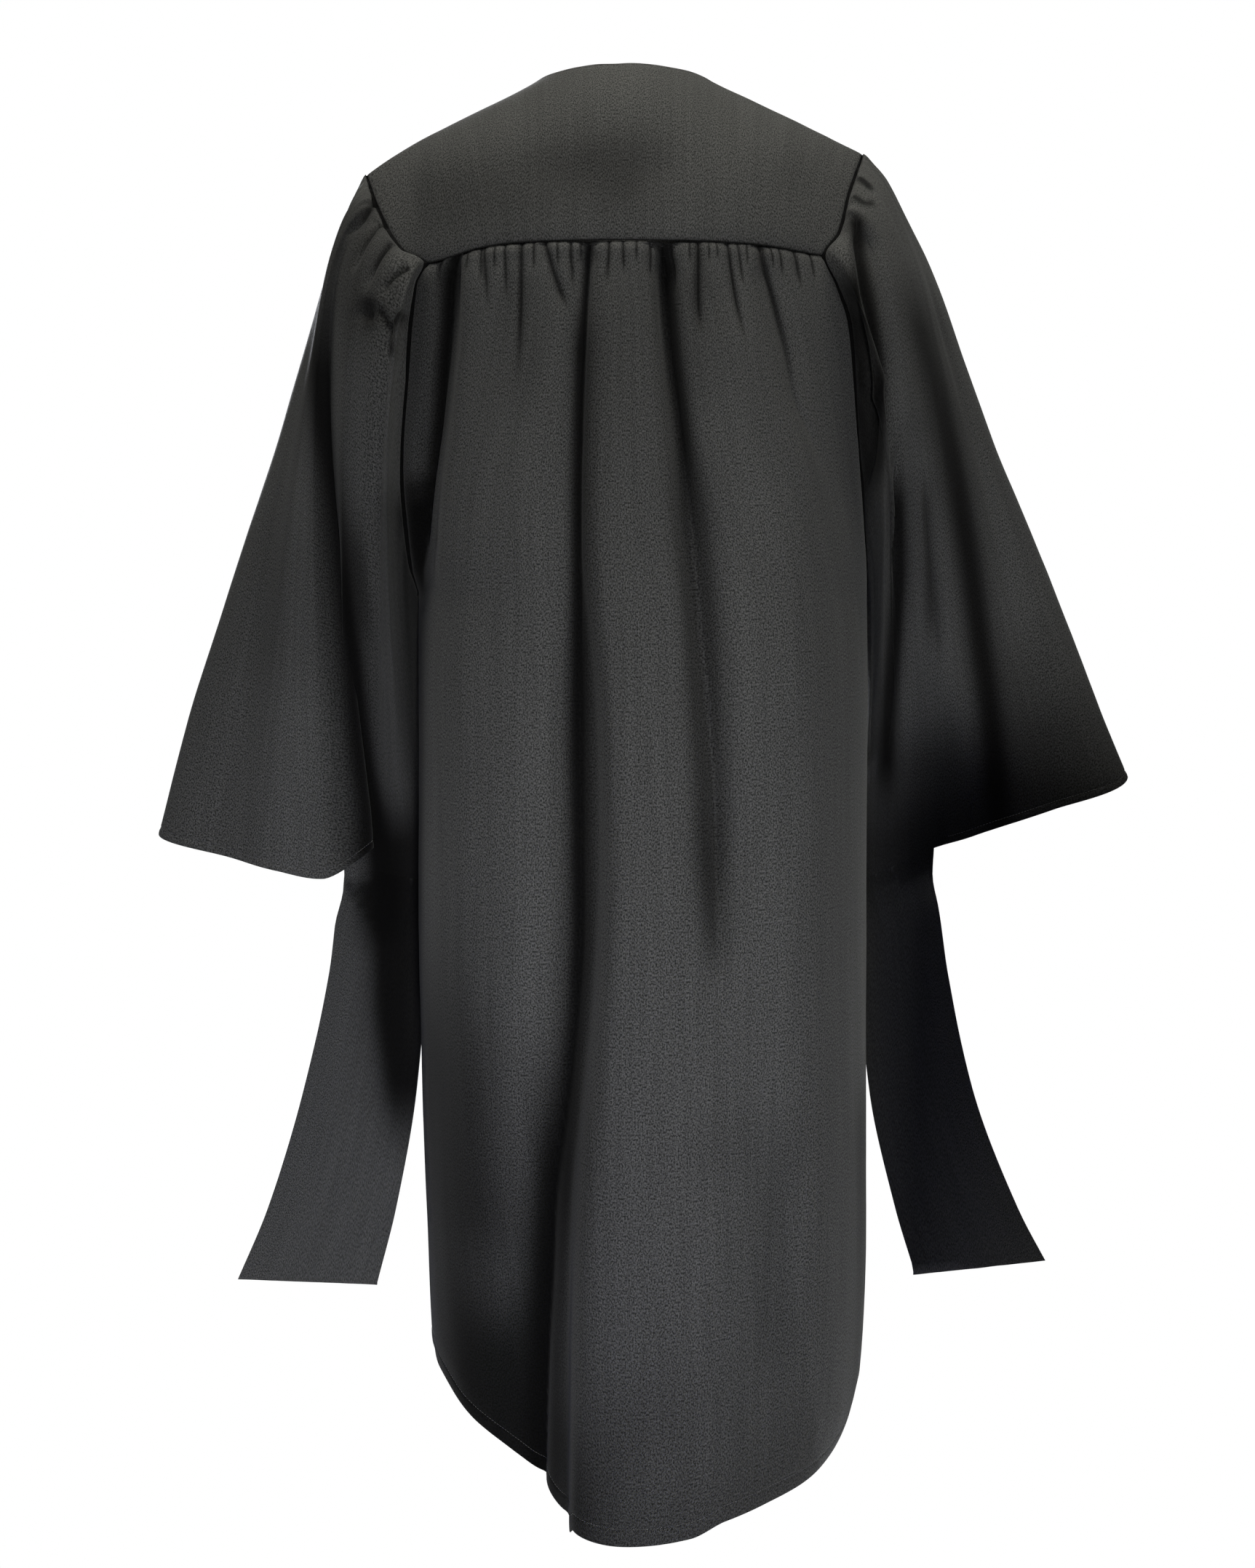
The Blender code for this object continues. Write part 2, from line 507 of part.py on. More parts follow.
def front_plain(side, share, drop):
    """A front panel before its side and its centre edge are drawn to their lines."""
    sign = 1 if side == "left" else -1
    seam_x, seam_z = shoulder_point(side, np.clip(share / FRONT_NECK_SHARE, 0, 1))
    across = 1 - np.clip((share - FRONT_NECK_SHARE) / (1 - FRONT_NECK_SHARE), 0, 1)
    neck_x, neck_y, neck_z = neck_point(sign * across, "front")
    on_seam = share < FRONT_NECK_SHARE
    top_x = np.where(on_seam, seam_x, neck_x + sign * PANEL_EDGE * (1 - across))
    top_y = np.where(on_seam, SHOULDER_Y, neck_y) - SHOULDER_SEAM
    top_z = np.where(on_seam, seam_z, neck_z)
    side_hem, centre_hem = FRONT_HEM[side]
    z = top_z + (side_hem + (centre_hem - side_hem) * share - top_z) * drop
    level = np.minimum(z, SHOULDER_TIP[side][1])
    edge_x, edge_y = side_line(side, "front", level)
    centre_x, centre_y = front_centre(level)
    centre_x = centre_x + sign * PANEL_EDGE
    turn = np.cos(share * math.pi / 2)
    swell = np.sqrt(np.maximum(1 - np.abs(turn) ** SECTION_POWER, 0))
    x = centre_x + (edge_x - centre_x) * turn
    y = edge_y + (centre_y - edge_y) * swell
    y = y + fold_shift(FRONT_FOLDS[side], x, z)
    down = top_z - z
    x = top_x + (x - top_x) * ramp(0, FRONT_WIDTH_REACH, down)
    y = top_y + (y - top_y) * np.sin(np.clip(down / FRONT_DEPTH_REACH, 0, 1) * math.pi / 2)
    return x, y, z


def front_form(side, share, drop):
    """A front panel: share 0 is its armhole and side seam, 1 is the centre front edge."""
    sign = 1 if side == "left" else -1
    x, y, z = front_plain(side, share, drop)
    for place, seam, flat in ((0.0, SEAM, 0.0), (1.0, 0.0, ZIP_REACH)):
        edge = front_plain(side, np.full_like(share, place), drop)
        if place == 0:
            line_x, line_y = side_line(side, "front", edge[2])
        else:
            line_x, line_y = front_centre(edge[2])
            line_x = line_x + sign * PANEL_EDGE
        away = np.maximum(np.abs(share - place) - flat, 0)
        hold = np.clip(1 - away / EDGE_REACH, 0, 1) ** 2
        x, y = drawn_to(x, y, hold, edge, (line_x, line_y - seam))
    return x, y, z


def sleeve_form(side, face, share, drop):
    """A sleeve layer: drop runs 0 to 1 down to the hem's level and 1 to 2 down the tail."""
    rows = SLEEVES[side, face]
    sign = 1 if side == "left" else -1
    out = 1 if face == "back" else -1
    head_z = column(rows, "share", "head_height", share)
    head_x, head_y = sewn_line(side, face, head_z)
    butted = 0 if face == "front" else ramp(0, 0.03, head_z - YOKE_CORNER[side] - 0.01)
    head_x = head_x + sign * (WALL / 2 + SEAM + SEWN_SLACK) * (1 - butted)
    head_x = head_x + sign * YOKE_SLACK * butted
    hem_x = column(rows, "share", "hem_x", share)
    hem_y = column(rows, "share", "hem_y", share)
    hem_z = column(rows, "share", "hem_height", share)
    fall = np.clip(drop, 0, 1)
    arch = np.sin(math.pi * fall ** 0.5)
    z = head_z + (hem_z - head_z) * fall
    x = head_x + (hem_x - head_x) * fall
    x = x + sign * column(rows, "share", "bow_x", share) * arch
    y = head_y + (hem_y - head_y) * fall + column(rows, "share", "bow_y", share) * arch
    edge_x = column(OUTER_SEAMS[side], "height", "x", z)
    x = x + (edge_x - x) * 2 * ramp(0.80, 1.20, share) * ramp(0, 0.04, fall)
    inner = ramp(0, 0.08, share) * ramp(0, 0.08, 1 - share)
    y = y - out * fold_shift(SLEEVE_FOLDS[side, face], x, z) * inner
    pucker = np.cos(share * math.pi * 2 * HEAD_PUCKERS) * PUCKER_DEPTH
    reach = ramp(0, 0.05, fall) * (1 - ramp(0.08, PUCKER_REACH, fall))
    y = y + out * pucker * reach * inner
    low = np.clip(drop - 1, 0, 1)
    part = np.clip(share / SLIT_SHARE, 0, 1)
    end_outer, end_inner = TAIL_END[side]
    tail_z = hem_z + (end_inner + (end_outer - end_inner) * part - hem_z) * low
    rows = TAILS[side]
    tail_inner = column(rows, "height", "inner_x", tail_z)
    tail_outer = column(rows, "height", "outer_x", tail_z)
    tail_x = tail_inner + (tail_outer - tail_inner) * part
    puff = TAIL_PUFF * np.sin(math.pi * part) * (1 - low ** 4)
    tail_y = column(rows, "height", "middle_y", tail_z) + out * puff
    settle = ramp(0, 0.15, low)
    below = drop > 1
    x = np.where(below, x + (tail_x - x) * settle, x)
    y = np.where(below, y + (tail_y - y) * settle, y)
    z = np.where(below, tail_z, z)
    return x, y + out * (WALL + SEAM) / 2, z


def material(name, colour, roughness, metallic):
    """A plain Principled material."""
    made = bpy.data.materials.new(name)
    made.use_nodes = True
    surface = made.node_tree.nodes["Principled BSDF"]
    surface.inputs["Base Color"].default_value = (*colour, 1)
    surface.inputs["Roughness"].default_value = roughness
    surface.inputs["Metallic"].default_value = metallic
    return made


def gown_collection():
    """An empty scene with one collection for the gown."""
    for old in list(bpy.data.objects):
        bpy.data.objects.remove(old)
    made = bpy.data.collections.new("graduation_gown")
    bpy.context.scene.collection.children.link(made)
    return made


def add_object(name, mesh, collection, finish):
    """An object for a mesh, in the gown's collection, with its material."""
    made = bpy.data.objects.new(name, mesh)
    mesh.materials.append(finish)
    collection.objects.link(made)
    return made


def add_wall(name, form, grid, collection, finish, wall=WALL, spread=1.0, tail_rows=0, flip=False):
    """A wall through a form: a grid of quads, thickened evenly to both sides.

    Rows crowd together near the top where `spread` is over one. A sleeve adds rows for its
    tail, which only the columns inside the slit have.
    """
    columns, rows = grid
    mesh_maker = bmesh.new()
    bmesh.ops.create_grid(mesh_maker, x_segments=columns, y_segments=rows + tail_rows, size=0.5)
    mesh_maker.verts.ensure_lookup_table()
    shares = np.array([vertex.co.x + 0.5 for vertex in mesh_maker.verts])
    steps = np.array([(0.5 - vertex.co.y) * (rows + tail_rows) for vertex in mesh_maker.verts])
    drops = np.where(steps <= rows, np.clip(steps / rows, 0, 1) ** spread, steps)
    if tail_rows:
        drops = np.where(steps > rows, 1 + (steps - rows) / tail_rows, drops)
        slit_column = round(SLIT_SHARE * columns)
        shares = np.where(shares * columns <= slit_column,
                          shares * columns / slit_column * SLIT_SHARE,
                          SLIT_SHARE + (shares * columns - slit_column)
                          / (columns - slit_column) * (1 - SLIT_SHARE))
        spare = [face for face in mesh_maker.faces
                 if min(shares[vertex.index] for vertex in face.verts) > SLIT_SHARE - 1e-6
                 and max(drops[vertex.index] for vertex in face.verts) > 1 + 1e-6]
    x, y, z = form(shares, drops)
    for vertex, place in zip(mesh_maker.verts, zip(x, y, z)):
        vertex.co = place
    if tail_rows:
        bmesh.ops.delete(mesh_maker, geom=spare, context="FACES")
    if flip:
        bmesh.ops.reverse_faces(mesh_maker, faces=mesh_maker.faces)
    mesh = bpy.data.meshes.new(name)
    mesh_maker.to_mesh(mesh)
    mesh_maker.free()
    mesh.shade_smooth()
    made = add_object(name, mesh, collection, finish)
    thicken = made.modifiers.new("wall", "SOLIDIFY")
    thicken.thickness = wall
    thicken.offset = 0
    return made


def build_cloth(collection, cloth):
    """The yoke, the back and front panels and the sleeve layers."""
    add_wall("back_yoke", yoke_form, YOKE_GRID, collection, cloth)
    add_wall("back_panel", back_form, BACK_GRID, collection, cloth, spread=BACK_SPREAD)
    for side in ("left", "right"):
        add_wall("front_panel_" + side, lambda share, drop, side=side: front_form(side, share, drop),
                 FRONT_GRID, collection, cloth, spread=FRONT_SPREAD, flip=side == "right")
        for face, grid in (("back", SLEEVE_BACK_GRID), ("front", SLEEVE_FRONT_GRID)):
            def form(share, drop, side=side, face=face):
                return sleeve_form(side, face, share, drop)
            add_wall(f"sleeve_{side}_{face}", form, grid, collection, cloth, spread=SLEEVE_SPREAD,
                     tail_rows=TAIL_ROWS, flip=(side == "left") == (face == "back"))


def zip_strip(inner, outer, behind, top=ZIP_TOP):
    """The form of a strip of the zip between two distances from the centre line."""
    def form(share, drop):
        z = top + (ZIP_FOOT - top) * drop
        x, y = front_centre(z)
        return x + inner + (outer - inner) * share, y + behind, z
    return form


def add_box(name, size, middle):
    """A box mesh of one size about one middle point."""
    maker = bmesh.new()
    bmesh.ops.create_cube(maker, size=1, matrix=Matrix.Translation(middle) @ Matrix.Diagonal((*size, 1)))
    mesh = bpy.data.meshes.new(name)
    maker.to_mesh(mesh)
    maker.free()
    return mesh


def join_box(target, size, middle, helpers):
    """Unite a box with an object by a Boolean."""
    box = bpy.data.objects.new(target.name + "_piece", add_box("piece", size, middle))
    box.matrix_world = target.matrix_world.copy()
    helpers.objects.link(box)
    box.hide_render = True
    box.display_type = "WIRE"
    union = target.modifiers.new("join", "BOOLEAN")
    union.operation = "UNION"
    union.object = box


def build_zip(collection, tape_finish, metal):
    """The closed zip: two tapes, the chain, the slider near the neck and its pull tab."""
    behind = WALL / 2 + SEAM + TAPE_WALL / 2
    for side, sign in (("left", 1), ("right", -1)):
        add_wall("zip_tape_" + side,
                 zip_strip(sign * TAPE_INNER, sign * (TAPE_INNER + TAPE_WIDTH), behind),
                 (1, ZIP_ROWS), collection, tape_finish, wall=TAPE_WALL, flip=side == "left")
    chain = zip_strip(CHAIN_HALF_WIDTH, -CHAIN_HALF_WIDTH, behind - SEAM,
                      SLIDER_TOP - SLIDER_HEIGHT - 3 * SEAM)
    add_wall("zip_chain", chain, (1, ZIP_ROWS), collection, tape_finish, wall=CHAIN_WALL)
    add_slider(collection, metal, behind)


def add_slider(collection, metal, behind):
    """The slider and its tab, leaning with the front, in one local frame.

    Local z runs up the zip and local -y stands out from the cloth. The tab turns on the
    local x axis, through the eye under the slider's bridge.
    """
    helpers = bpy.data.collections.new("slider_pieces")
    bpy.context.scene.collection.children.link(helpers)
    middle_z = SLIDER_TOP - SLIDER_HEIGHT / 2
    x, y = front_centre(middle_z)
    _, y_below = front_centre(middle_z - LEAN_REACH)
    lean = math.atan2(float(y - y_below), LEAN_REACH)
    face_y = y + behind - TAPE_WALL / 2 - SEAM - SLIDER_DEPTH
    place = Matrix.Translation((float(x), float(face_y), middle_z)) @ Matrix.Rotation(-lean, 4, "X")
    slider = add_object("zip_slider", add_box("zip_slider", (SLIDER_WIDTH, SLIDER_DEPTH, SLIDER_HEIGHT),
                                              (0, SLIDER_DEPTH / 2, 0)), collection, metal)
    slider.matrix_world = place
    leg = (BRIDGE_WIDTH, BRIDGE_STAND + 2 * LAP, BRIDGE_BAR)
    for leg_z in (BRIDGE_HEIGHT / 2, -BRIDGE_HEIGHT / 2):
        join_box(slider, leg, (0, LAP - BRIDGE_STAND / 2, leg_z), helpers)
    join_box(slider, (BRIDGE_WIDTH, BRIDGE_BAR, BRIDGE_HEIGHT + BRIDGE_BAR),
             (0, -BRIDGE_STAND - BRIDGE_BAR / 4, 0), helpers)
    add_tab(collection, metal, place, helpers)


def add_tab(collection, metal, place, helpers):
    """The pull tab: a pin through the bridge, two eye bars and a plate a little thicker."""
    pin_y = -BRIDGE_STAND / 2
    axis = place @ Matrix.Translation((0, pin_y, 0))
    rail_x = BRIDGE_WIDTH / 2 + EYE_GAP + EYE_BAR / 2
    pin_width = 2 * rail_x + EYE_BAR
    tab = add_object("zip_pull_tab", add_box("zip_pull_tab", (pin_width, 2 * PIN_RADIUS, 2 * PIN_RADIUS),
                                             (0, 0, 0)), collection, metal)
    tab.matrix_world = axis
    for sign in (1, -1):
        join_box(tab, (EYE_BAR, TAB_WALL, TAB_EYE + 2 * LAP), (sign * rail_x, 0, -TAB_EYE / 2), helpers)
    plate = TAB_LENGTH - TAB_EYE
    join_box(tab, (TAB_WIDTH, PLATE_WALL, plate), (0, 0, -TAB_EYE - plate / 2), helpers)


def main():
    collection = gown_collection()
    cloth = material("gown_cloth", CLOTH_COLOUR, 0.75, 0)
    tape_finish = material("zip_tape", ZIP_COLOUR, 0.7, 0)
    metal = material("zip_metal", METAL_COLOUR, 0.4, 1)
    build_cloth(collection, cloth)
    build_zip(collection, tape_finish, metal)


main()
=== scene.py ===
"""A black graduation gown seen from behind, filled out as it is worn.

Every cloth piece is a thin shell on the same form as its CAD wall: a function works each
point out from two shares, one across the piece and one down it. A relief is then pushed
in or out along the surface: gathers, creases, puckers, lips at the seams, stitched hems
and the slight unevenness of hanging cloth. Each point also carries fold_shade, painted
shade: the share of the light taken out of the cloth's colour and gloss in its folds, along
its seams and over some broad areas. +X is the wearer's left, which is the left of the
picture. Sizes are in metres, and the rows of fold and crease tables in millimetres.
"""
import math
from collections import namedtuple
from functools import partial

import bpy
import numpy as np
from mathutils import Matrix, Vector


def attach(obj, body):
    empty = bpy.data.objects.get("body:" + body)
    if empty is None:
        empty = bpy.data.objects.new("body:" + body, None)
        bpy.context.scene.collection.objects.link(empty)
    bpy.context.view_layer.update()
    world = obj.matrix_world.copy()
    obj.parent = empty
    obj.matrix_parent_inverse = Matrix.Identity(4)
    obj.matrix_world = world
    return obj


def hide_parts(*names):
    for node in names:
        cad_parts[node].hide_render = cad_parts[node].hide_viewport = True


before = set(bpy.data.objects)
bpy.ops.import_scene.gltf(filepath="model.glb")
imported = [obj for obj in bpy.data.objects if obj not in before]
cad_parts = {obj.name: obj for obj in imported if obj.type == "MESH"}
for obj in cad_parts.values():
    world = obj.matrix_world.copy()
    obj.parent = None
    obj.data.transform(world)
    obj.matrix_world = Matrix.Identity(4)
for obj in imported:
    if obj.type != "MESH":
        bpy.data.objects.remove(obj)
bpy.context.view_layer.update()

# The wearer's left is at +X, and the back at +Y.
SIGN = {"left": 1, "right": -1}
OUT = {"back": 1, "front": -1}

CLOTH_WALL = 0.0005
# How far a piece stands off the line of its seam.
SEAM = 0.0003
# Below the armhole the front's edge is drawn this much towards the back's, which shuts the seam.
SIDE_SEAM_CLOSED = 0.0005
SIDE_SEAM_START = (-0.50, -0.46)

# Neck and shoulders.
NECK_MIDDLE = 0.003
NECK_HALF_WIDTH = 0.080
NECK_HEIGHT = 0.0217
NECK_BACK_DEPTH = 0.057
NECK_BACK_DROP = 0.003
NECK_FRONT_DEPTH = 0.100
NECK_FRONT_DROP = 0.080
NECK_POWER = 2.2
NECK_FULLNESS = 0.8
NECK_FRONT_POINT = 1.2
SHOULDER_Y = -0.002
SHOULDER_SEAM = 0.0008
SHOULDER_RISE = {"left": 0.008, "right": 0.001}
YOKE_NECK_SHARE = 0.29
FRONT_NECK_SHARE = 0.55

# The gathered seam between the yoke and the back panel. It drops towards its two corners,
# over a share of its length. The yoke falls to it partly straight and partly rounded.
SEAM_HEIGHT = -0.150
CORNER_DROP = {"left": 0.011, "right": 0.004}
CORNER_REACH = 0.12
YOKE_STRAIGHT_FALL = 0.30
# The share of a piece's width over which the line of its edge holds it, and the share of a
# front that lies flat along the zip.
EDGE_REACH = 0.20
ZIP_REACH = 0.07
# The share at each side of a back panel or a sleeve over which its folds fade out.
BACK_CALM = 0.05
SLEEVE_CALM = 0.08

# The line down each side of the body: the armhole, then the side seam. Heights are z.
Side = namedtuple("Side", "height back_x back_y front_x front_y")
SIDES = {
    "left": [
        Side(-0.064, 0.247, -0.002, 0.247, -0.002),
        Side(-0.110, 0.228, 0.036, 0.239, -0.038),
        Side(-0.146, 0.206, 0.060, 0.228, -0.054),
        Side(-0.161, 0.183, 0.073, 0.222, -0.060),
        Side(-0.180, 0.192, 0.071, 0.215, -0.066),
        Side(-0.260, 0.204, 0.052, 0.206, -0.072),
        Side(-0.360, 0.214, 0.022, 0.208, -0.062),
        Side(-0.430, 0.210, 0.000, 0.209, -0.045),
        Side(-0.460, 0.205, -0.025, 0.205, -0.025),
        Side(-0.600, 0.206, -0.026, 0.206, -0.026),
        Side(-0.850, 0.207, -0.026, 0.207, -0.026),
        Side(-1.100, 0.202, -0.026, 0.202, -0.026),
        Side(-1.300, 0.197, -0.027, 0.197, -0.027)],
    "right": [
        Side(-0.045, -0.222, -0.002, -0.222, -0.002),
        Side(-0.090, -0.2045, 0.036, -0.218, -0.035),
        Side(-0.130, -0.193, 0.057, -0.212, -0.052),
        Side(-0.154, -0.178, 0.071, -0.208, -0.060),
        Side(-0.180, -0.190, 0.069, -0.204, -0.065),
        Side(-0.214, -0.2036, 0.062, -0.202, -0.069),
        Side(-0.290, -0.2135, 0.046, -0.204, -0.070),
        Side(-0.387, -0.2250, 0.018, -0.214, -0.060),
        Side(-0.430, -0.2310, 0.000, -0.224, -0.045),
        Side(-0.460, -0.2350, -0.025, -0.235, -0.025),
        Side(-0.600, -0.237, -0.026, -0.237, -0.026),
        Side(-0.850, -0.238, -0.026, -0.238, -0.026),
        Side(-1.100, -0.241, -0.026, -0.241, -0.026),
        Side(-1.220, -0.237, -0.026, -0.237, -0.026),
        Side(-1.300, -0.214, -0.026, -0.214, -0.026)]}
YOKE_CORNER = {"left": -0.161, "right": -0.154}
SHOULDER_TIP = {"left": (0.247, -0.064), "right": (-0.222, -0.045)}

# How far the body stands out behind and in front, by height.
Depth = namedtuple("Depth", "height back front")
DEPTHS = [
    Depth(-0.058, 0.105, -0.100), Depth(-0.150, 0.116, -0.113), Depth(-0.200, 0.121, -0.120),
    Depth(-0.300, 0.129, -0.130), Depth(-0.450, 0.141, -0.141), Depth(-0.600, 0.155, -0.150),
    Depth(-0.800, 0.175, -0.163), Depth(-1.000, 0.197, -0.178), Depth(-1.200, 0.222, -0.195),
    Depth(-1.300, 0.240, -0.205)]
# The power of the body's section: 2 is an ellipse, and a higher one is squarer.
SECTION_POWER = 2.4
# The back's section is flattest above one height and round below the other.
FLAT_ABOVE = -0.150
ROUND_BELOW = -0.550

# The hem's height, by the share across from the left side seam to the right one.
Hem = namedtuple("Hem", "share height")
BACK_HEM = [
    Hem(0.00, -1.222), Hem(0.10, -1.216), Hem(0.19, -1.244), Hem(0.25, -1.265),
    Hem(0.335, -1.298), Hem(0.375, -1.296), Hem(0.40, -1.286), Hem(0.47, -1.288),
    Hem(0.565, -1.284), Hem(0.61, -1.275), Hem(0.77, -1.269), Hem(0.86, -1.264),
    Hem(1.00, -1.264)]
FRONT_HEM = {"left": (-1.222, -1.236), "right": (-1.264, -1.236)}

# A fold runs down through its path of (height, x) places. A positive depth is a trough.
# Its width holds at its top and grows by this share down to its low end, and it fades out
# towards a place a little below that end.
FOLD_WIDENING = 1.4
FOLD_OVERRUN = 0.01
Fold = namedtuple("Fold", "name path width left right depth_top depth_low fade_top fade_low")


def fold_rows(rows):
    """Folds from rows in the order of Fold's columns, in millimetres; left and right are shares."""
    return [Fold(name, [(height / 1000, x / 1000) for height, x in path], width / 1000, left, right,
                 *[size / 1000 for size in sizes])
            for name, path, width, left, right, *sizes in rows]


BACK_FOLDS = fold_rows([
    ("left trough", [(-155, 158), (-228, 163), (-293, 174), (-380, 190), (-480, 200)], 8, 1.3, 0.9, 12,
     16, 20, 80),
    ("middle trough", [(-156, 32), (-237, 36), (-406, 44), (-514, 40), (-674, 36), (-829, 46),
     (-985, 66), (-1142, 80), (-1300, 92)], 13, 1.8, 0.8, 10, 40, 20, 10),
    ("inner right trough", [(-161, -32), (-279, -41), (-403, -56), (-599, -76), (-793, -80)], 10, 1,
     1.2, 9, 9, 20, 150),
    ("outer right trough", [(-162, -119), (-251, -139), (-332, -166), (-400, -195)], 10, 1, 1.3, 10, 6,
     20, 80),
    ("low left hollow", [(-760, 182), (-998, 168), (-1300, 140)], 22, 1, 1.2, 4, 12, 150, 10),
    ("low right hollow", [(-800, -120), (-1075, -133), (-1300, -148)], 24, 1, 1, 4, 10, 200, 10),
    ("centre ridge", [(-170, 8), (-770, 6), (-1300, 20)], 22, 1, 1, -3, -8, 50, 10),
    ("right ridge", [(-190, -92), (-449, -115), (-900, -35), (-1300, -45)], 26, 1, 1, -4, -8, 60, 10)])

# How far below its upper edge a front panel reaches its full width and its full depth.
FRONT_WIDTH_REACH = 0.16
FRONT_DEPTH_REACH = 0.11

FRONT_FOLDS = {
    "left": fold_rows([
        ("side trough", [(-300, 150), (-700, 158), (-1300, 150)], 20, 1, 1, 4, 16, 200, 10),
        ("middle trough", [(-200, 88), (-700, 92), (-1300, 85)], 18, 1.3, 0.9, 3, 20, 200, 10)]),
    "right": fold_rows([
        ("side trough", [(-300, -160), (-700, -178), (-1300, -172)], 20, 1, 1, 4, 18, 200, 10),
        ("middle trough", [(-180, -80), (-700, -100), (-1300, -108)], 18, 0.9, 1.3, 3, 18, 200, 10)])}

# A sleeve layer, by the share across from the underarm seam to the outer seam: where each
# thread leaves the armhole, where it meets the hem's level, and how far it bows out.
Thread = namedtuple("Thread", "share head_height hem_x hem_y hem_height bow_x bow_y")
# The slit above the tail: its share across, the share over which the wrist's hem starts
# beside it, and the length over which the tail's own turned edge starts below it.
SLIT_SHARE = 0.44
HEM_START = 0.03
SLIT_START = 0.02
SLEEVES = {
    ("left", "back"): [
        Thread(0.00, -0.460, 0.208, -0.098, -0.757, 0.001, 0.000),
        Thread(0.20, -0.270, 0.236, -0.085, -0.750, 0.010, 0.045),
        Thread(0.33, -0.158, 0.262, -0.078, -0.742, 0.016, 0.048),
        Thread(0.44, -0.130, 0.292, -0.070, -0.735, 0.022, 0.050),
        Thread(0.52, -0.110, 0.256, -0.035, -0.713, 0.045, 0.014),
        Thread(0.60, -0.096, 0.300, 0.004, -0.738, 0.040, 0.028),
        Thread(0.70, -0.084, 0.345, 0.010, -0.729, 0.030, 0.030),
        Thread(0.85, -0.073, 0.410, -0.012, -0.714, 0.016, 0.020),
        Thread(1.00, -0.064, 0.472, -0.040, -0.699, 0.007, 0.000)],
    ("left", "front"): [
        Thread(0.00, -0.460, 0.208, -0.098, -0.757, 0.001, 0.000),
        Thread(0.20, -0.300, 0.236, -0.104, -0.750, 0.012, -0.024),
        Thread(0.33, -0.200, 0.262, -0.098, -0.742, 0.022, -0.030),
        Thread(0.44, -0.160, 0.292, -0.075, -0.735, 0.026, -0.040),
        Thread(0.56, -0.120, 0.300, -0.106, -0.740, 0.032, -0.020),
        Thread(0.70, -0.096, 0.345, -0.104, -0.729, 0.028, -0.018),
        Thread(0.85, -0.078, 0.410, -0.076, -0.714, 0.016, -0.014),
        Thread(1.00, -0.064, 0.472, -0.040, -0.699, 0.007, 0.000)],
    ("right", "back"): [
        Thread(0.00, -0.460, -0.242, -0.100, -0.757, 0.0015, 0.000),
        Thread(0.05, -0.408, -0.247, -0.097, -0.754, 0.008, 0.011),
        Thread(0.20, -0.270, -0.264, -0.082, -0.744, 0.015, 0.042),
        Thread(0.33, -0.150, -0.288, -0.066, -0.729, 0.028, 0.046),
        Thread(0.44, -0.118, -0.310, -0.043, -0.714, 0.030, 0.046),
        Thread(0.58, -0.084, -0.343, -0.004, -0.696, 0.034, 0.034),
        Thread(0.70, -0.064, -0.385, 0.002, -0.681, 0.030, 0.028),
        Thread(0.85, -0.053, -0.442, -0.014, -0.664, 0.022, 0.018),
        Thread(1.00, -0.045, -0.502, -0.040, -0.641, 0.014, 0.000)],
    ("right", "front"): [
        Thread(0.00, -0.460, -0.242, -0.100, -0.757, 0.0015, 0.000),
        Thread(0.20, -0.300, -0.264, -0.106, -0.744, 0.014, -0.022),
        Thread(0.33, -0.190, -0.288, -0.090, -0.729, 0.026, -0.032),
        Thread(0.44, -0.145, -0.310, -0.048, -0.714, 0.030, -0.052),
        Thread(0.58, -0.100, -0.343, -0.082, -0.696, 0.032, -0.032),
        Thread(0.70, -0.076, -0.385, -0.088, -0.681, 0.028, -0.022),
        Thread(0.85, -0.058, -0.442, -0.072, -0.664, 0.022, -0.016),
        Thread(1.00, -0.045, -0.502, -0.040, -0.641, 0.014, 0.000)]}

# The sleeve's outer seam from the shoulder tip to the wrist's corner. The layers come to it
# over these shares across, and below a short share of their length.
OUTER_BLEND = (0.80, 1.20)
HEAD_BLEND = 0.04
Edge = namedtuple("Edge", "height x")
OUTER_SEAMS = {
    "left": [Edge(-0.064, 0.247), Edge(-0.078, 0.255), Edge(-0.129, 0.274), Edge(-0.183, 0.295),
             Edge(-0.264, 0.323), Edge(-0.315, 0.340), Edge(-0.404, 0.374), Edge(-0.489, 0.405),
             Edge(-0.576, 0.436), Edge(-0.699, 0.473)],
    "right": [Edge(-0.045, -0.222), Edge(-0.061, -0.240), Edge(-0.102, -0.264),
              Edge(-0.155, -0.292), Edge(-0.237, -0.325), Edge(-0.319, -0.358),
              Edge(-0.404, -0.398), Edge(-0.489, -0.436), Edge(-0.576, -0.474),
              Edge(-0.641, -0.503)]}

# The hanging tail below the wrist, by height: its outer arc and its inner seam.
Tail = namedtuple("Tail", "height outer_x inner_x middle_y")
TAILS = {
    "left": [Tail(-0.740, 0.294, 0.208, -0.085), Tail(-0.790, 0.305, 0.209, -0.092),
             Tail(-0.854, 0.315, 0.212, -0.098), Tail(-0.982, 0.345, 0.224, -0.100),
             Tail(-1.112, 0.386, 0.248, -0.100), Tail(-1.196, 0.422, 0.270, -0.100)],
    "right": [Tail(-0.735, -0.314, -0.241, -0.078), Tail(-0.790, -0.327, -0.242, -0.090),
              Tail(-0.854, -0.338, -0.244, -0.096), Tail(-0.982, -0.368, -0.257, -0.100),
              Tail(-1.112, -0.419, -0.287, -0.100), Tail(-1.180, -0.455, -0.308, -0.100)]}
TAIL_END = {"left": (-1.192, -1.198), "right": (-1.171, -1.187)}
TAIL_PUFF = 0.010
TAIL_SETTLE = 0.15

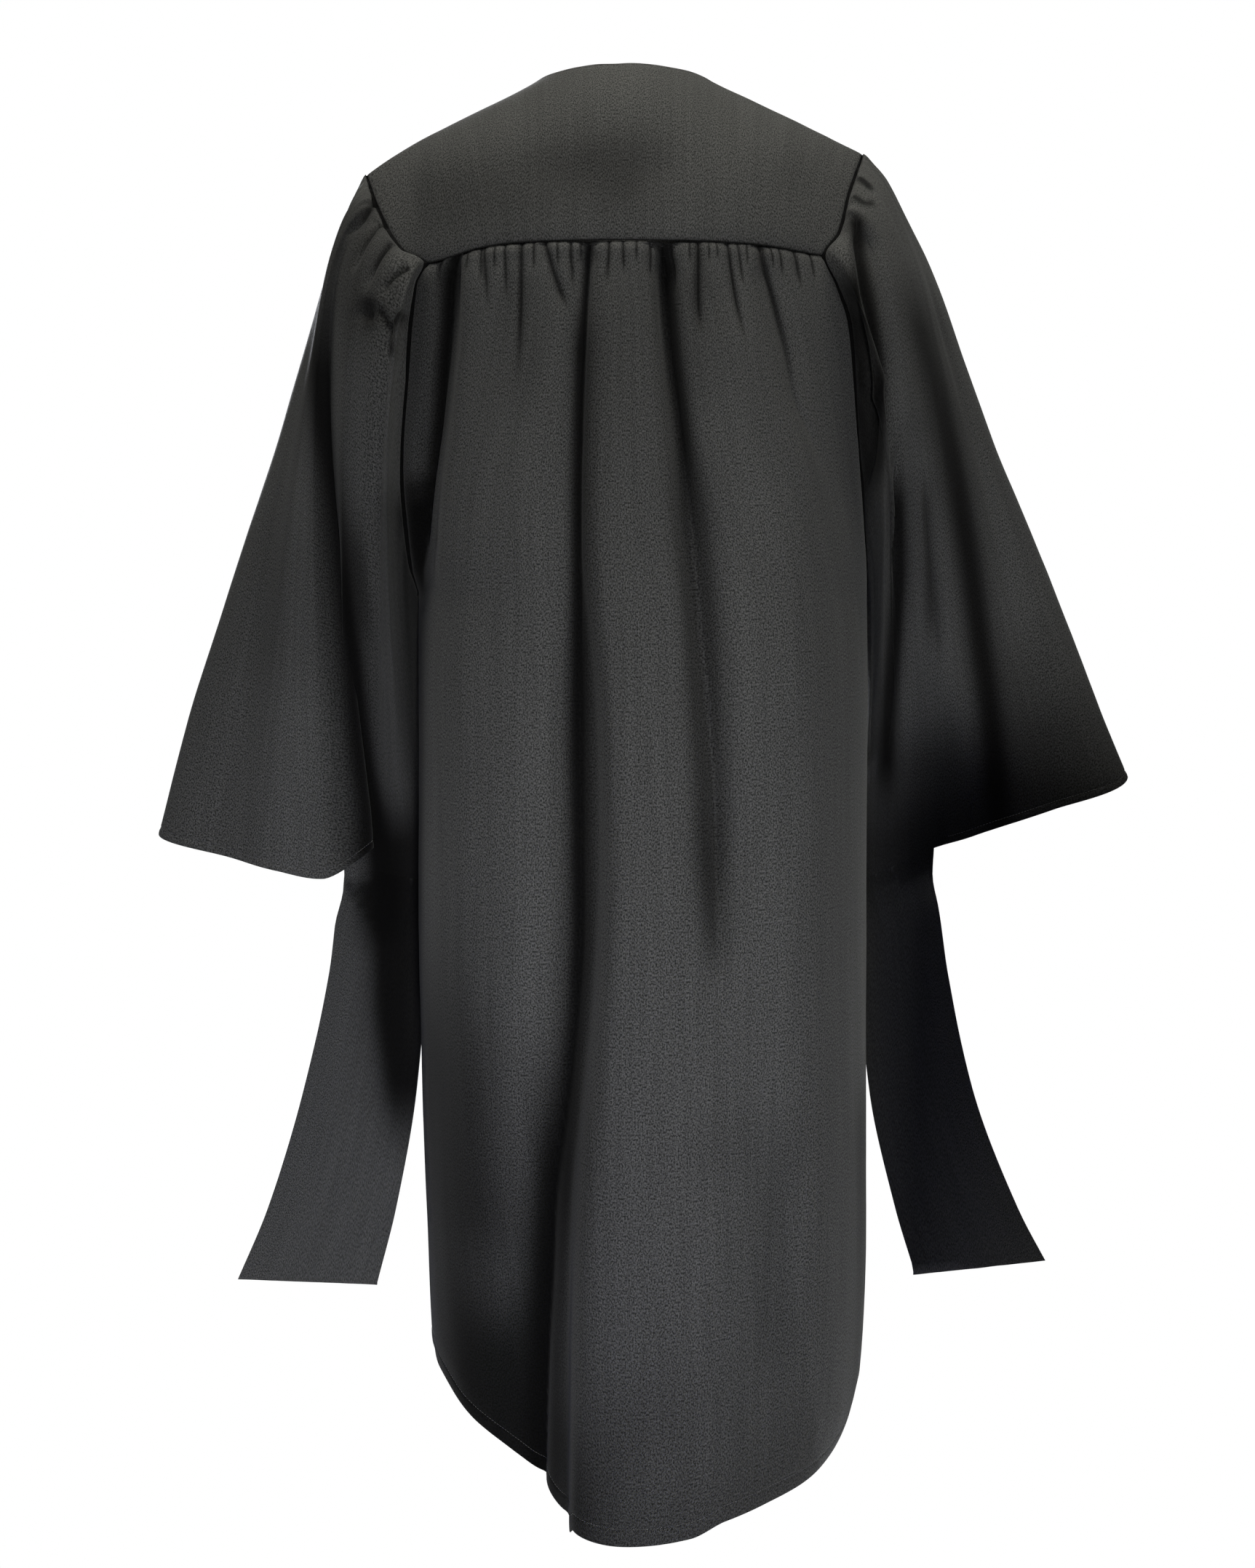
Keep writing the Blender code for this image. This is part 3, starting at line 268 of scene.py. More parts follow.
SLEEVE_FOLDS = {
    ("left", "back"): fold_rows([
        ("outer trough", [(-165, 282), (-264, 285), (-320, 288), (-460, 274), (-600, 258), (-712, 250)],
         14, 1.4, 0.8, 10, 12, 80, 50)]),
    ("left", "front"): fold_rows([
        ("outer trough", [(-220, 282), (-460, 292), (-700, 310)], 18, 1, 1, 8, 10, 100, 50)]),
    ("right", "back"): fold_rows([
        ("inner trough", [(-118, -214), (-187, -225), (-246, -232), (-310, -226), (-380, -222)], 9, 1,
         1.3, 12, 12, 30, 80),
        ("second trough", [(-290, -262), (-400, -258), (-480, -257), (-640, -247)], 10, 1, 1.2, 12, 14,
         70, 60),
        ("third trough", [(-330, -286), (-440, -293), (-540, -298)], 7, 1, 1, 6, 5, 80, 80),
        ("wide trough", [(-150, -265), (-240, -298), (-380, -326), (-490, -346), (-600, -352)], 16, 1.2,
         1, 9, 10, 80, 120)]),
    ("right", "front"): fold_rows([
        ("outer trough", [(-220, -280), (-440, -312), (-640, -345)], 18, 1, 1, 8, 10, 100, 50)])}

# The zip at the centre front.
PANEL_EDGE = 0.0040
TAPE_INNER = 0.0023
TAPE_WIDTH = 0.0085
TAPE_WALL = 0.0010
ZIP_TOP = -0.078
ZIP_FOOT = -1.180
SLIDER_TOP = -0.084
SLIDER_HEIGHT = 0.0120
SLIDER_WIDTH = 0.0070
SLIDER_DEPTH = 0.0046
BRIDGE_WIDTH = 0.0020
BRIDGE_HEIGHT = 0.0052
BRIDGE_STAND = 0.0026
BRIDGE_BAR = 0.0008
EYE_GAP = 0.0004
EYE_BAR = 0.0012
TAB_WALL = 0.0010
TAB_WIDTH = 0.0056
TAB_LENGTH = 0.0240
TAB_EYE = 0.0050
LEAN_REACH = 0.03
BAR_SIDES = 12
# Sizes of the slider's shield plates and of its throat's post, and the rim on the tab's plate.
SHIELD_WALL = 0.0011
POST_WIDTH = 0.0016
POST_HEIGHT = 0.0034
RIM_WIDTH = 0.00035
RIM_STAND = 0.0003
# The tab's shares of its own plate: its waist, and the rim's half sizes, middle and depth.
EYE_ROUNDNESS = 0.45
WAIST_SHARE = 0.14
WAIST_PLACE = 0.30
WAIST_REACH = 0.28
RIM_HALF_WIDTH = 0.31
RIM_HALF_LENGTH = 0.30
RIM_MIDDLE = 0.58
RIM_DEPTH = 0.42

# The centre front line's x at the neck and at the hem, and how far behind it the zip lies.
CENTRE_TOP_X = 0.003
CENTRE_FOOT_X = -0.018
CENTRE_BEND = (0.06, 1.30)
ZIP_BEHIND = 0.00155
ZIP_STITCH = 0.0060
ZIP_TURN = 0.0100
COIL_PITCH = 0.0024
COIL_DEPTH = 0.0007
COIL_WIRE = 0.00042
STITCH_PITCH = 0.0030
STITCH_LENGTH = 0.0024
STITCH_RADIUS = 0.00022
STITCH_RINGS = 5
STITCH_SIDES = 6

# The puffs of cloth between the gathers, just below the yoke. The gathers ease further down.
PUFF_HEIGHT = 0.0026
PUFF_RISE = 0.0075
PUFF_FALL = 0.022
PUFF_CELLS = (0.014, 0.05)
GATHER_EASING = (0.04, 0.14)
GATHER_EASED = 0.3
# The dents that the gathers leave in the yoke, as a share of their depth.
DENT_SHARE = 0.25
DENT_WIDTH = 0.004
DENT_REACH = 0.008
# Wide soft hollows of the yoke: x, height, half width and half height.
HOLLOW_DEPTH = 0.0022
YOKE_HOLLOWS = [(0.202, -0.100, 0.022, 0.030), (0.059, -0.092, 0.032, 0.020),
                (-0.018, -0.087, 0.032, 0.020), (-0.149, -0.097, 0.034, 0.026)]
# The puckers at a sleeve's head, and the head's length along the armhole.
PUCKER_HEIGHT = 0.0022
PUCKER_LIFT = 0.4
PUCKER_CELLS = (0.011, 0.06)
PUCKER_RISE = 0.010
PUCKER_FALL = 0.045
HEAD_LENGTH = 0.42

# The rough size that spaces a piece's rows and columns, and how many steps its mesh has.
Mesh = namedtuple("Mesh", "width length columns rows")
YOKE_MESH = Mesh(0.52, 0.20, 190, 50)
BACK_MESH = Mesh(0.43, 1.12, 320, 46)
FRONT_MESH = Mesh(0.26, 1.25, 72, 80)
# A sleeve layer's inner and outer part, and its length down to the wrist and its tail's. Its
# rows crowd towards its head by this power.
SLEEVE_WIDTHS = (0.20, 0.22)
SLEEVE_LENGTHS = (0.50, 0.44)
SLEEVE_CROWD = 1.5
SLEEVE_COLUMNS = {"back": (104, 84), "front": (44, 48)}
SLEEVE_ROWS = {"back": (132, 46), "front": (74, 42)}

# The armhole's seam allowance, inside: its width on each side of the seam and its depth.
ALLOWANCE = 0.0055
ALLOWANCE_DEPTH = 0.0023
# Painted shade: the share of the light taken from the colour in gathers and in a seam's dip, and the
# width of the dip's shade.
GATHER_SHADE = 0.85
SEAM_SHADE = 0.88
SEAM_SHADE_WIDTH = 0.0012

# The slight unevenness of hung cloth: broad hollows, small ones and long soft streaks.
Hollows = namedtuple("Hollows", "height across down")
UNEVENNESS = [Hollows(0.00045, 0.050, 0.075), Hollows(0.00012, 0.016, 0.022),
              Hollows(0.00040, 0.021, 0.260)]
# The grid of random heights repeats after this many cells across and down.
GRID_CELLS = (61, 67)
SEEDS = {"puffs": 11, "back": 21, "yoke": 31, "front_left": 45, "front_right": 46,
         "head": 51, "sleeve_left": 65, "sleeve_right": 66}

# The dip at a seam, the swell of a turned hem, and the dimple along a row of stitches.
LIP_DEPTH = 0.0012
LIP_REACH = 0.0022
HEM_SWELL = 0.00035
HEM_DIMPLE = 0.00055
HEM_DIMPLE_WIDTH = 0.0013
ZIP_DIMPLE = 0.0004
ZIP_DIMPLE_WIDTH = 0.0012

FLOOR = -1.50
FLOOR_REACH = 6.0
# The strength of the light that comes from all round.
AMBIENT = 0.012
# The camera's height, distance and downward look, as the photograph was taken.
CAMERA_PLACE = (0, 1.60, -0.476)
CAMERA_TURN = (84, 0, 180)
CAMERA_LENS = 37.57
# The studio's lights, with their spread in degrees and their power in watts.
Light = namedtuple("Light", "name place aim width height spread power colour")
LIGHTS = [
    Light("key", (-0.30, 3.0, -0.75), (-0.01, 0.0, -0.88), 0.35, 0.6, 60, 13.2, "#fdfefa"),
    Light("low_fill", (0.25, 2.4, -1.50), (0.05, 0.0, -1.20), 0.5, 0.4, 50, 2.1, "#909dff"),
    Light("overhead", (0.0, 0.45, 1.4), (0.0, 0.0, -0.1), 1.8, 0.4, 140, 26.0, "#fbf9ec"),
    Light("front_fill", (1.2, -2.6, 0.7), (0.0, 0.0, -0.6), 0.8, 0.8, 120, 60, "#f4f7ff"),
    Light("side_fill", (-2.6, -1.4, 0.5), (0.0, 0.0, -0.5), 1.0, 1.0, 180, 2, "#f4f7ff")]
# A black card near the gown keeps the key light off the right sleeve's hem and tail. Its
# corners are given by x and height.
CARD_DISTANCE = 0.55
CARD = [(-1.03, -0.62), (-0.40, -0.62), (-0.325, -0.595), (-0.280, -0.67), (-0.270, -0.79),
        (-0.270, -1.27), (-1.03, -1.27)]

# A sleeve's edge stands this far from the armhole, and its two layers from their middle.
HEAD_GAP = 0.0007
LAYER_GAP = 0.0009

# A turned edge: the radius of its fold, and the rows close to it, as distances from it.
FOLD_RADIUS = 0.00065
PAIR_RADIUS = 0.0009
EDGE_ROWS = (0, 0.00008, 0.00025, 0.00048, 0.0008, 0.0014, 0.0022, 0.0034)
HEM_ROWS = EDGE_ROWS + (0.0055, 0.0080, 0.0105, 0.0125, 0.0138, 0.0150, 0.0162, 0.0180)
WRIST_ROWS = EDGE_ROWS + (0.0050, 0.0064, 0.0078, 0.0092)
NECK_ROWS = EDGE_ROWS + (0.0046, 0.0058, 0.0070)
BACK_ROWS = EDGE_ROWS + (*np.arange(0.0055, 0.085, 0.0027), *np.arange(0.090, 0.170, 0.008))
FRONT_ROWS = NECK_ROWS + (*np.arange(0.011, 0.13, 0.005),)
TURN = 0.0100
HEM_TURN = 0.0150
WRIST_TURN = 0.0078
NECK_TURN = 0.0060


def smooth(knots, values, at):
    """Values at the places `at`, on a curve through the knots that never overshoots them."""
    knots = np.asarray(knots, float)
    values = np.asarray(values, float)
    if knots[0] > knots[-1]:
        knots = knots[::-1]
        values = values[::-1]
    step = np.diff(knots)
    rise = np.diff(values) / step
    slope = np.empty_like(values)
    slope[0] = rise[0]
    slope[-1] = rise[-1]
    both = rise[:-1] * rise[1:]
    total = rise[:-1] + rise[1:]
    steady = both > 0
    slope[1:-1] = np.where(steady, 2 * both / np.where(steady, total, 1), 0)
    at = np.clip(np.asarray(at, float), knots[0], knots[-1])
    cell = np.clip(np.searchsorted(knots, at, side="right") - 1, 0, len(step) - 1)
    share = (at - knots[cell]) / step[cell]
    left = (1 + 2 * share) * (1 - share) ** 2 * values[cell]
    left += share * (1 - share) ** 2 * step[cell] * slope[cell]
    right = share ** 2 * (3 - 2 * share) * values[cell + 1]
    right += share ** 2 * (share - 1) * step[cell] * slope[cell + 1]
    return left + right


def column(rows, key, name, at):
    """One named column of a table, read smoothly at the places `at` of its key column."""
    knots = [getattr(row, key) for row in rows]
    values = [getattr(row, name) for row in rows]
    return smooth(knots, values, at)


def ramp(low, high, at):
    """Zero below `low`, one above `high`, and a soft step between them."""
    share = np.clip((np.asarray(at, float) - low) / (high - low), 0, 1)
    return share * share * (3 - 2 * share)


def side_line(side, face, height):
    """The x and y of a side's armhole and side seam at a height, on its back or front face."""
    rows = SIDES[side]
    return column(rows, "height", face + "_x", height), column(rows, "height", face + "_y", height)


def yoke_fall(drop):
    """How the yoke's height runs from its upper edge (0) to its seam (1)."""
    curved = 1 - np.cos(drop * math.pi / 2)
    return YOKE_STRAIGHT_FALL * drop + (1 - YOKE_STRAIGHT_FALL) * curved


def fold_shift(folds, x, z):
    """How far in the folds push the cloth at each x and height."""
    shift = np.zeros_like(x)
    for fold in folds:
        heights = [place[0] for place in fold.path]
        centre = smooth(heights, [place[1] for place in fold.path], z)
        top = heights[0]
        low = heights[-1]
        run = np.clip((top - z) / (top - low), 0, 1)
        depth = fold.depth_top + (fold.depth_low - fold.depth_top) * run
        width = fold.width * (1 + FOLD_WIDENING * run)
        offset = (x - centre) / (width * np.where(x > centre, fold.left, fold.right))
        inside = ramp(0, fold.fade_top, top - z) * ramp(0, fold.fade_low, z - low + FOLD_OVERRUN)
        shift += depth * inside * np.exp(-offset ** 2)
    return shift


def yoke_seam_height(share):
    """The gathered seam's height, by the share across from left to right."""
    left = CORNER_DROP["left"] * np.exp(-(share / CORNER_REACH) ** 2)
    right = CORNER_DROP["right"] * np.exp(-((1 - share) / CORNER_REACH) ** 2)
    return SEAM_HEIGHT - left - right


def back_section(share, z):
    """A point of the back's plain section at height z: x, y and the outward direction."""
    left_x, left_y = side_line("left", "back", np.minimum(z, YOKE_CORNER["left"]))
    right_x, right_y = side_line("right", "back", np.minimum(z, YOKE_CORNER["right"]))
    roundness = ramp(-FLAT_ABOVE, -ROUND_BELOW, -z)
    across = (1 - roundness) * (1 - 2 * share) + roundness * np.cos(math.pi * share)
    swell = np.maximum(1 - np.abs(across) ** SECTION_POWER, 0) ** (1 - roundness / 2)
    middle = (left_x + right_x) / 2
    half = (left_x - right_x) / 2
    edge_y = left_y + (right_y - left_y) * share
    depth = column(DEPTHS, "height", "back", z) - edge_y
    x = middle + half * across
    y = edge_y + depth * swell
    out_x = across * depth
    out_y = half * np.sqrt(np.maximum(1 - across ** 2, 0)) + 1e-6
    size = np.hypot(out_x, out_y)
    return x, y, out_x / size, out_y / size


def neck_point(across, face):
    """A point of the neck's edge: across is 1 at the wearer's left and -1 at the right."""
    swell = (1 - np.abs(across) ** NECK_POWER) ** NECK_FULLNESS
    x = NECK_MIDDLE + NECK_HALF_WIDTH * across
    if face == "back":
        return x, SHOULDER_Y + NECK_BACK_DEPTH * swell, NECK_HEIGHT - NECK_BACK_DROP * swell
    y = SHOULDER_Y - (NECK_FRONT_DEPTH + SHOULDER_Y) * swell
    return x, y, NECK_HEIGHT - NECK_FRONT_DROP * swell ** NECK_FRONT_POINT


def shoulder_point(side, share):
    """A point of the shoulder seam: share 0 is the tip over the arm, 1 is the neck."""
    tip_x, tip_z = SHOULDER_TIP[side]
    neck_x = NECK_MIDDLE + SIGN[side] * NECK_HALF_WIDTH
    x = tip_x + (neck_x - tip_x) * share
    line = tip_z + (NECK_HEIGHT - tip_z) * share
    return x, line + SHOULDER_RISE[side] * np.sin(math.pi * share) * (1 - share)


def yoke_top(share):
    """The yoke's upper edge: shoulder seam, neck, shoulder seam."""
    left_x, left_z = shoulder_point("left", np.clip(share / YOKE_NECK_SHARE, 0, 1))
    right_x, right_z = shoulder_point("right", np.clip((1 - share) / YOKE_NECK_SHARE, 0, 1))
    across = 1 - 2 * np.clip((share - YOKE_NECK_SHARE) / (1 - 2 * YOKE_NECK_SHARE), 0, 1)
    neck_x, neck_y, neck_z = neck_point(across, "back")
    on_left = share < YOKE_NECK_SHARE
    on_right = share > 1 - YOKE_NECK_SHARE
    x = np.where(on_left, left_x, np.where(on_right, right_x, neck_x))
    y = np.where(on_left | on_right, SHOULDER_Y, neck_y)
    z = np.where(on_left, left_z, np.where(on_right, right_z, neck_z))
    return x, y, z


def yoke_plain(share, drop):
    """The yoke before its armhole edges are drawn in."""
    top_x, top_y, top_z = yoke_top(share)
    seam_z = yoke_seam_height(share) + SEAM
    seam_x, seam_y, _, _ = back_section(share, seam_z)
    start_y = top_y + SHOULDER_SEAM
    x = top_x + (seam_x - top_x) * drop
    y = start_y + (seam_y - start_y) * np.sin(drop * math.pi / 2)
    return x, y, top_z + (seam_z - top_z) * yoke_fall(drop)


def drawn_to(x, y, hold, edge, target):
    """Points moved by as much as their piece's edge misses its target line."""
    return x + (target[0] - edge[0]) * hold, y + (target[1] - edge[1]) * hold


def yoke_form(share, drop):
    """The back yoke: it rounds over the shoulders from its upper edge to the gathered seam."""
    x, y, z = yoke_plain(share, drop)
    for side, place in (("left", 0.0), ("right", 1.0)):
        edge = yoke_plain(np.full_like(share, place), drop)
        line_x, line_y = side_line(side, "back", edge[2])
        hold = np.clip(1 - np.abs(share - place) / EDGE_REACH, 0, 1) ** 2
        target = (line_x, line_y + SHOULDER_SEAM * (1 - drop))
        x, y = drawn_to(x, y, hold, edge, target)
    return x, y, z


def back_form(share, drop):
    """The back panel: gathered along the yoke, with its main folds down to the hem."""
    top = yoke_seam_height(share) - SEAM
    z = top + (column(BACK_HEM, "share", "height", share) - top) * drop
    x, y, out_x, out_y = back_section(share, z)
    edge = ramp(0, BACK_CALM, share) * ramp(0, BACK_CALM, 1 - share)
    shift = fold_shift(BACK_FOLDS, x, z) * edge
    return x - out_x * shift, y + SEAM - out_y * shift, z


def front_centre(z):
    """The centre front line's x and y at a height."""
    x = CENTRE_TOP_X + (CENTRE_FOOT_X - CENTRE_TOP_X) * ramp(*CENTRE_BEND, -z)
    return x, column(DEPTHS, "height", "front", z)


def front_plain(side, share, drop):
    """A front panel before its side and its centre edge are drawn to their lines."""
    sign = SIGN[side]
    seam_x, seam_z = shoulder_point(side, np.clip(share / FRONT_NECK_SHARE, 0, 1))
    across = 1 - np.clip((share - FRONT_NECK_SHARE) / (1 - FRONT_NECK_SHARE), 0, 1)
    neck_x, neck_y, neck_z = neck_point(sign * across, "front")
    on_seam = share < FRONT_NECK_SHARE
    top_x = np.where(on_seam, seam_x, neck_x + sign * PANEL_EDGE * (1 - across))
    top_y = np.where(on_seam, SHOULDER_Y, neck_y) - SHOULDER_SEAM
    top_z = np.where(on_seam, seam_z, neck_z)
    side_hem, centre_hem = FRONT_HEM[side]
    z = top_z + (side_hem + (centre_hem - side_hem) * share - top_z) * drop
    level = np.minimum(z, SHOULDER_TIP[side][1])
    edge_x, edge_y = side_line(side, "front", level)
    centre_x, centre_y = front_centre(level)
    centre_x = centre_x + sign * PANEL_EDGE
    turn = np.cos(share * math.pi / 2)
    swell = np.sqrt(np.maximum(1 - np.abs(turn) ** SECTION_POWER, 0))
    x = centre_x + (edge_x - centre_x) * turn
    y = edge_y + (centre_y - edge_y) * swell
    y = y + fold_shift(FRONT_FOLDS[side], x, z)
    down = top_z - z
    x = top_x + (x - top_x) * ramp(0, FRONT_WIDTH_REACH, down)
    y = top_y + (y - top_y) * np.sin(np.clip(down / FRONT_DEPTH_REACH, 0, 1) * math.pi / 2)
    return x, y, z


def front_form(side, share, drop):
    """A front panel: share 0 is its armhole and side seam, 1 is the centre front edge."""
    sign = SIGN[side]
    x, y, z = front_plain(side, share, drop)
    for place, seam, flat in ((0.0, SEAM, 0.0), (1.0, 0.0, ZIP_REACH)):
        edge = front_plain(side, np.full_like(share, place), drop)
        if place == 0:
            line_x, line_y = side_line(side, "front", edge[2])
            line_y = line_y + SIDE_SEAM_CLOSED * (1 - ramp(*SIDE_SEAM_START, edge[2]))
        else:
            line_x, line_y = front_centre(edge[2])
            line_x = line_x + sign * PANEL_EDGE
        away = np.maximum(np.abs(share - place) - flat, 0)
        hold = np.clip(1 - away / EDGE_REACH, 0, 1) ** 2
        x, y = drawn_to(x, y, hold, edge, (line_x, line_y - seam))
    return x, y, z


def sleeve_form(side, face, share, drop):
    """A sleeve layer: drop runs 0 to 1 down to the hem's level and 1 to 2 down the tail."""
    rows = SLEEVES[side, face]
    sign = SIGN[side]
    out = OUT[face]
    head_z = column(rows, "share", "head_height", share)
    head_x, head_y = side_line(side, face, head_z)
    head_x = head_x + sign * HEAD_GAP
    hem_x = column(rows, "share", "hem_x", share)
    hem_y = column(rows, "share", "hem_y", share)
    hem_z = column(rows, "share", "hem_height", share)
    fall = np.clip(drop, 0, 1)
    arch = np.sin(math.pi * fall ** 0.5)
    z = head_z + (hem_z - head_z) * fall
    x = head_x + (hem_x - head_x) * fall
    x = x + sign * column(rows, "share", "bow_x", share) * arch
    y = head_y + (hem_y - head_y) * fall + column(rows, "share", "bow_y", share) * arch
    edge_x = column(OUTER_SEAMS[side], "height", "x", z)
    x = x + (edge_x - x) * 2 * ramp(*OUTER_BLEND, share) * ramp(0, HEAD_BLEND, fall)
    inner = ramp(0, SLEEVE_CALM, share) * ramp(0, SLEEVE_CALM, 1 - share)
    y = y - out * fold_shift(SLEEVE_FOLDS[side, face], x, z) * inner
    low = np.clip(drop - 1, 0, 1)
    part = np.clip(share / SLIT_SHARE, 0, 1)
    end_outer, end_inner = TAIL_END[side]
    tail_z = hem_z + (end_inner + (end_outer - end_inner) * part - hem_z) * low
    rows = TAILS[side]
    tail_inner = column(rows, "height", "inner_x", tail_z)
    tail_outer = column(rows, "height", "outer_x", tail_z)
    tail_x = tail_inner + (tail_outer - tail_inner) * part
    puff = TAIL_PUFF * np.sin(math.pi * part) * (1 - low ** 4)
    tail_y = column(rows, "height", "middle_y", tail_z) + out * puff
    settle = ramp(0, TAIL_SETTLE, low)
    below = drop > 1
    x = np.where(below, x + (tail_x - x) * settle, x)
    y = np.where(below, y + (tail_y - y) * settle, y)
    z = np.where(below, tail_z, z)
    return x, y + out * LAYER_GAP, z


# A crease follows a path of (x, height) places. It is deepest on its line and falls away to
# each side over its own width: left is towards the wearer's left. It fades in over `start`
# and out over `end`, both measured along it.
Crease = namedtuple("Crease", "path left right depth start end")


def shade_rows(rows):
    """Painted shade: creases from rows in the order of Crease's columns, in millimetres; depth is a share
    of the light.
    """
    return [Crease([(x / 1000, height / 1000) for x, height in path], left / 1000, right / 1000,
                   depth, start / 1000, end / 1000)
            for path, left, right, depth, start, end in rows]


def crease_rows(rows):
    """Creases from rows in the order of Crease's columns, in millimetres."""
    return [crease._replace(depth=crease.depth / 1000) for crease in shade_rows(rows)]


def shades_in(creases, depth, width=1.0):
    """Painted shade for creases: one depth, and a share of their width."""
    return [crease._replace(left=width * crease.left, right=width * crease.right, depth=depth)
            for crease in creases]


# The gathers of the back panel, from the yoke's seam down.
GATHERS = crease_rows([
    ([(170, -150), (171, -185)], 2.2, 1.8, 2, 1, 20),
    ([(131, -150), (131, -186)], 1.8, 1.4, 2.2, 1, 14),
    ([(143, -150), (144, -176)], 1.8, 1.4, 1.2, 1, 12),
    ([(128, -150), (124, -215)], 3, 2, 2.2, 1, 40),
    ([(118, -150), (118, -178)], 1.8, 1.4, 1.2, 1, 14),
    ([(109, -150), (108, -206)], 2.4, 1.8, 3, 1, 30),
    ([(94, -150), (95, -205), (98, -285)], 4.4, 3, 3.6, 1, 70),
    ([(83, -150), (83, -180)], 1.8, 1.4, 2, 1, 14),
    ([(73, -150), (63, -182), (52, -214)], 4.6, 2, 4, 1, 22),
    ([(62, -150), (61, -176)], 1.8, 1.4, 1.2, 1, 12),
    ([(50, -150), (49, -200)], 2.6, 1.8, 2.8, 1, 28),
    ([(41, -150), (41, -170)], 1.6, 1.4, 1, 1, 10),
    ([(16, -150), (18, -196)], 2.4, 1.8, 2.8, 1, 26),
    ([(4, -150), (3, -184)], 2, 1.6, 2.4, 1, 16),
    ([(-8, -150), (-8, -172)], 1.8, 1.4, 1.2, 1, 12),
    ([(-20, -150), (-22, -186)], 2, 1.6, 2.6, 1, 14),
    ([(-27, -150), (-34, -178)], 1.8, 1.4, 2.2, 1, 12),
    ([(-39, -150), (-42, -200)], 2.4, 1.8, 3, 1, 26),
    ([(-55, -150), (-55, -170)], 1.4, 1.2, 1.2, 1, 8),
    ([(-63, -150), (-63, -195), (-65, -236)], 2.8, 1.8, 4.2, 1, 30),
    ([(-72, -150), (-72, -170)], 1.4, 1.2, 1.4, 1, 8),
    ([(-79, -150), (-80, -168)], 1.4, 1.2, 1.4, 1, 8),
    ([(-89, -150), (-96, -195), (-109, -250)], 3.2, 2.2, 4.2, 1, 50),
    ([(-98, -150), (-104, -192)], 2, 1.6, 2.4, 1, 20),
    ([(-106, -150), (-107, -172)], 1.4, 1.2, 1.2, 1, 10),
    ([(-128, -150), (-131, -172)], 1.6, 1.2, 1.4, 1, 10),
    ([(-136, -150), (-140, -182)], 2, 1.6, 2, 1, 16),
    ([(-150, -150), (-158, -192)], 3.4, 2.2, 2.6, 1, 22),
    ([(-165, -150), (-170, -184)], 2.2, 1.8, 2.2, 1, 18)])

# The back's long creases run in the CAD's troughs, the middle one in two stretches.
BACK_CREASES = crease_rows([
    ([(155, -150), (157, -162), (163, -229), (174, -293), (191, -380), (200, -450)], 8, 3.6, 16, 1, 70),
    ([(33, -150), (35, -180), (38, -235), (41, -299), (43, -406), (43, -514), (42, -600)], 5, 4, 10, 1,
     200),
    ([(43, -420), (43, -514), (42, -579), (41, -677), (42, -756), (48, -835), (57, -915), (68, -995),
     (74, -1077), (82, -1160), (92, -1300)], 11, 7, 19, 200, 1),
    ([(-31, -150), (-32, -160), (-35, -214), (-42, -278), (-50, -342), (-57, -402), (-68, -514),
     (-76, -599), (-81, -685), (-78, -800)], 6, 7, 15, 1, 150),
    ([(-118, -150), (-120, -161), (-131, -202), (-143, -249), (-148, -283), (-171, -330), (-200, -374)],
     5, 4, 5, 1, 100)])

# Broad forms of the back that are softer than the CAD's troughs: a negative depth stands out.
BACK_FORMS = fold_rows([
    ("outer right trough eased", [(-162, -119), (-251, -139), (-332, -166), (-400, -195)], 10, 1, 1.3,
     -6, -6, 20, 80),
    ("middle trough eased", [(-156, 32), (-237, 36), (-406, 44), (-560, 40)], 15, 1.8, 0.8, -8, -6, 20,
     140),
    ("inner right trough eased", [(-161, -32), (-279, -41), (-403, -56)], 10, 1, 1.2, -4, -3, 20, 100),
    ("right side", [(-200, -145), (-600, -158), (-900, -160), (-1300, -145)], 24, 1, 1, -8, -12, 200, 1),
    ("left side", [(-300, 150), (-600, 155), (-900, 155), (-1300, 145)], 24, 1, 1, -5, -9, 200, 1),
    ("low shade", [(-850, 105), (-1050, 108), (-1300, 118)], 24, 1, 1, 4, 26, 250, 1),
    ("right hollow", [(-900, -150), (-1050, -133), (-1200, -133), (-1300, -140)], 16, 1, 1, 5, 3, 120,
     60)])

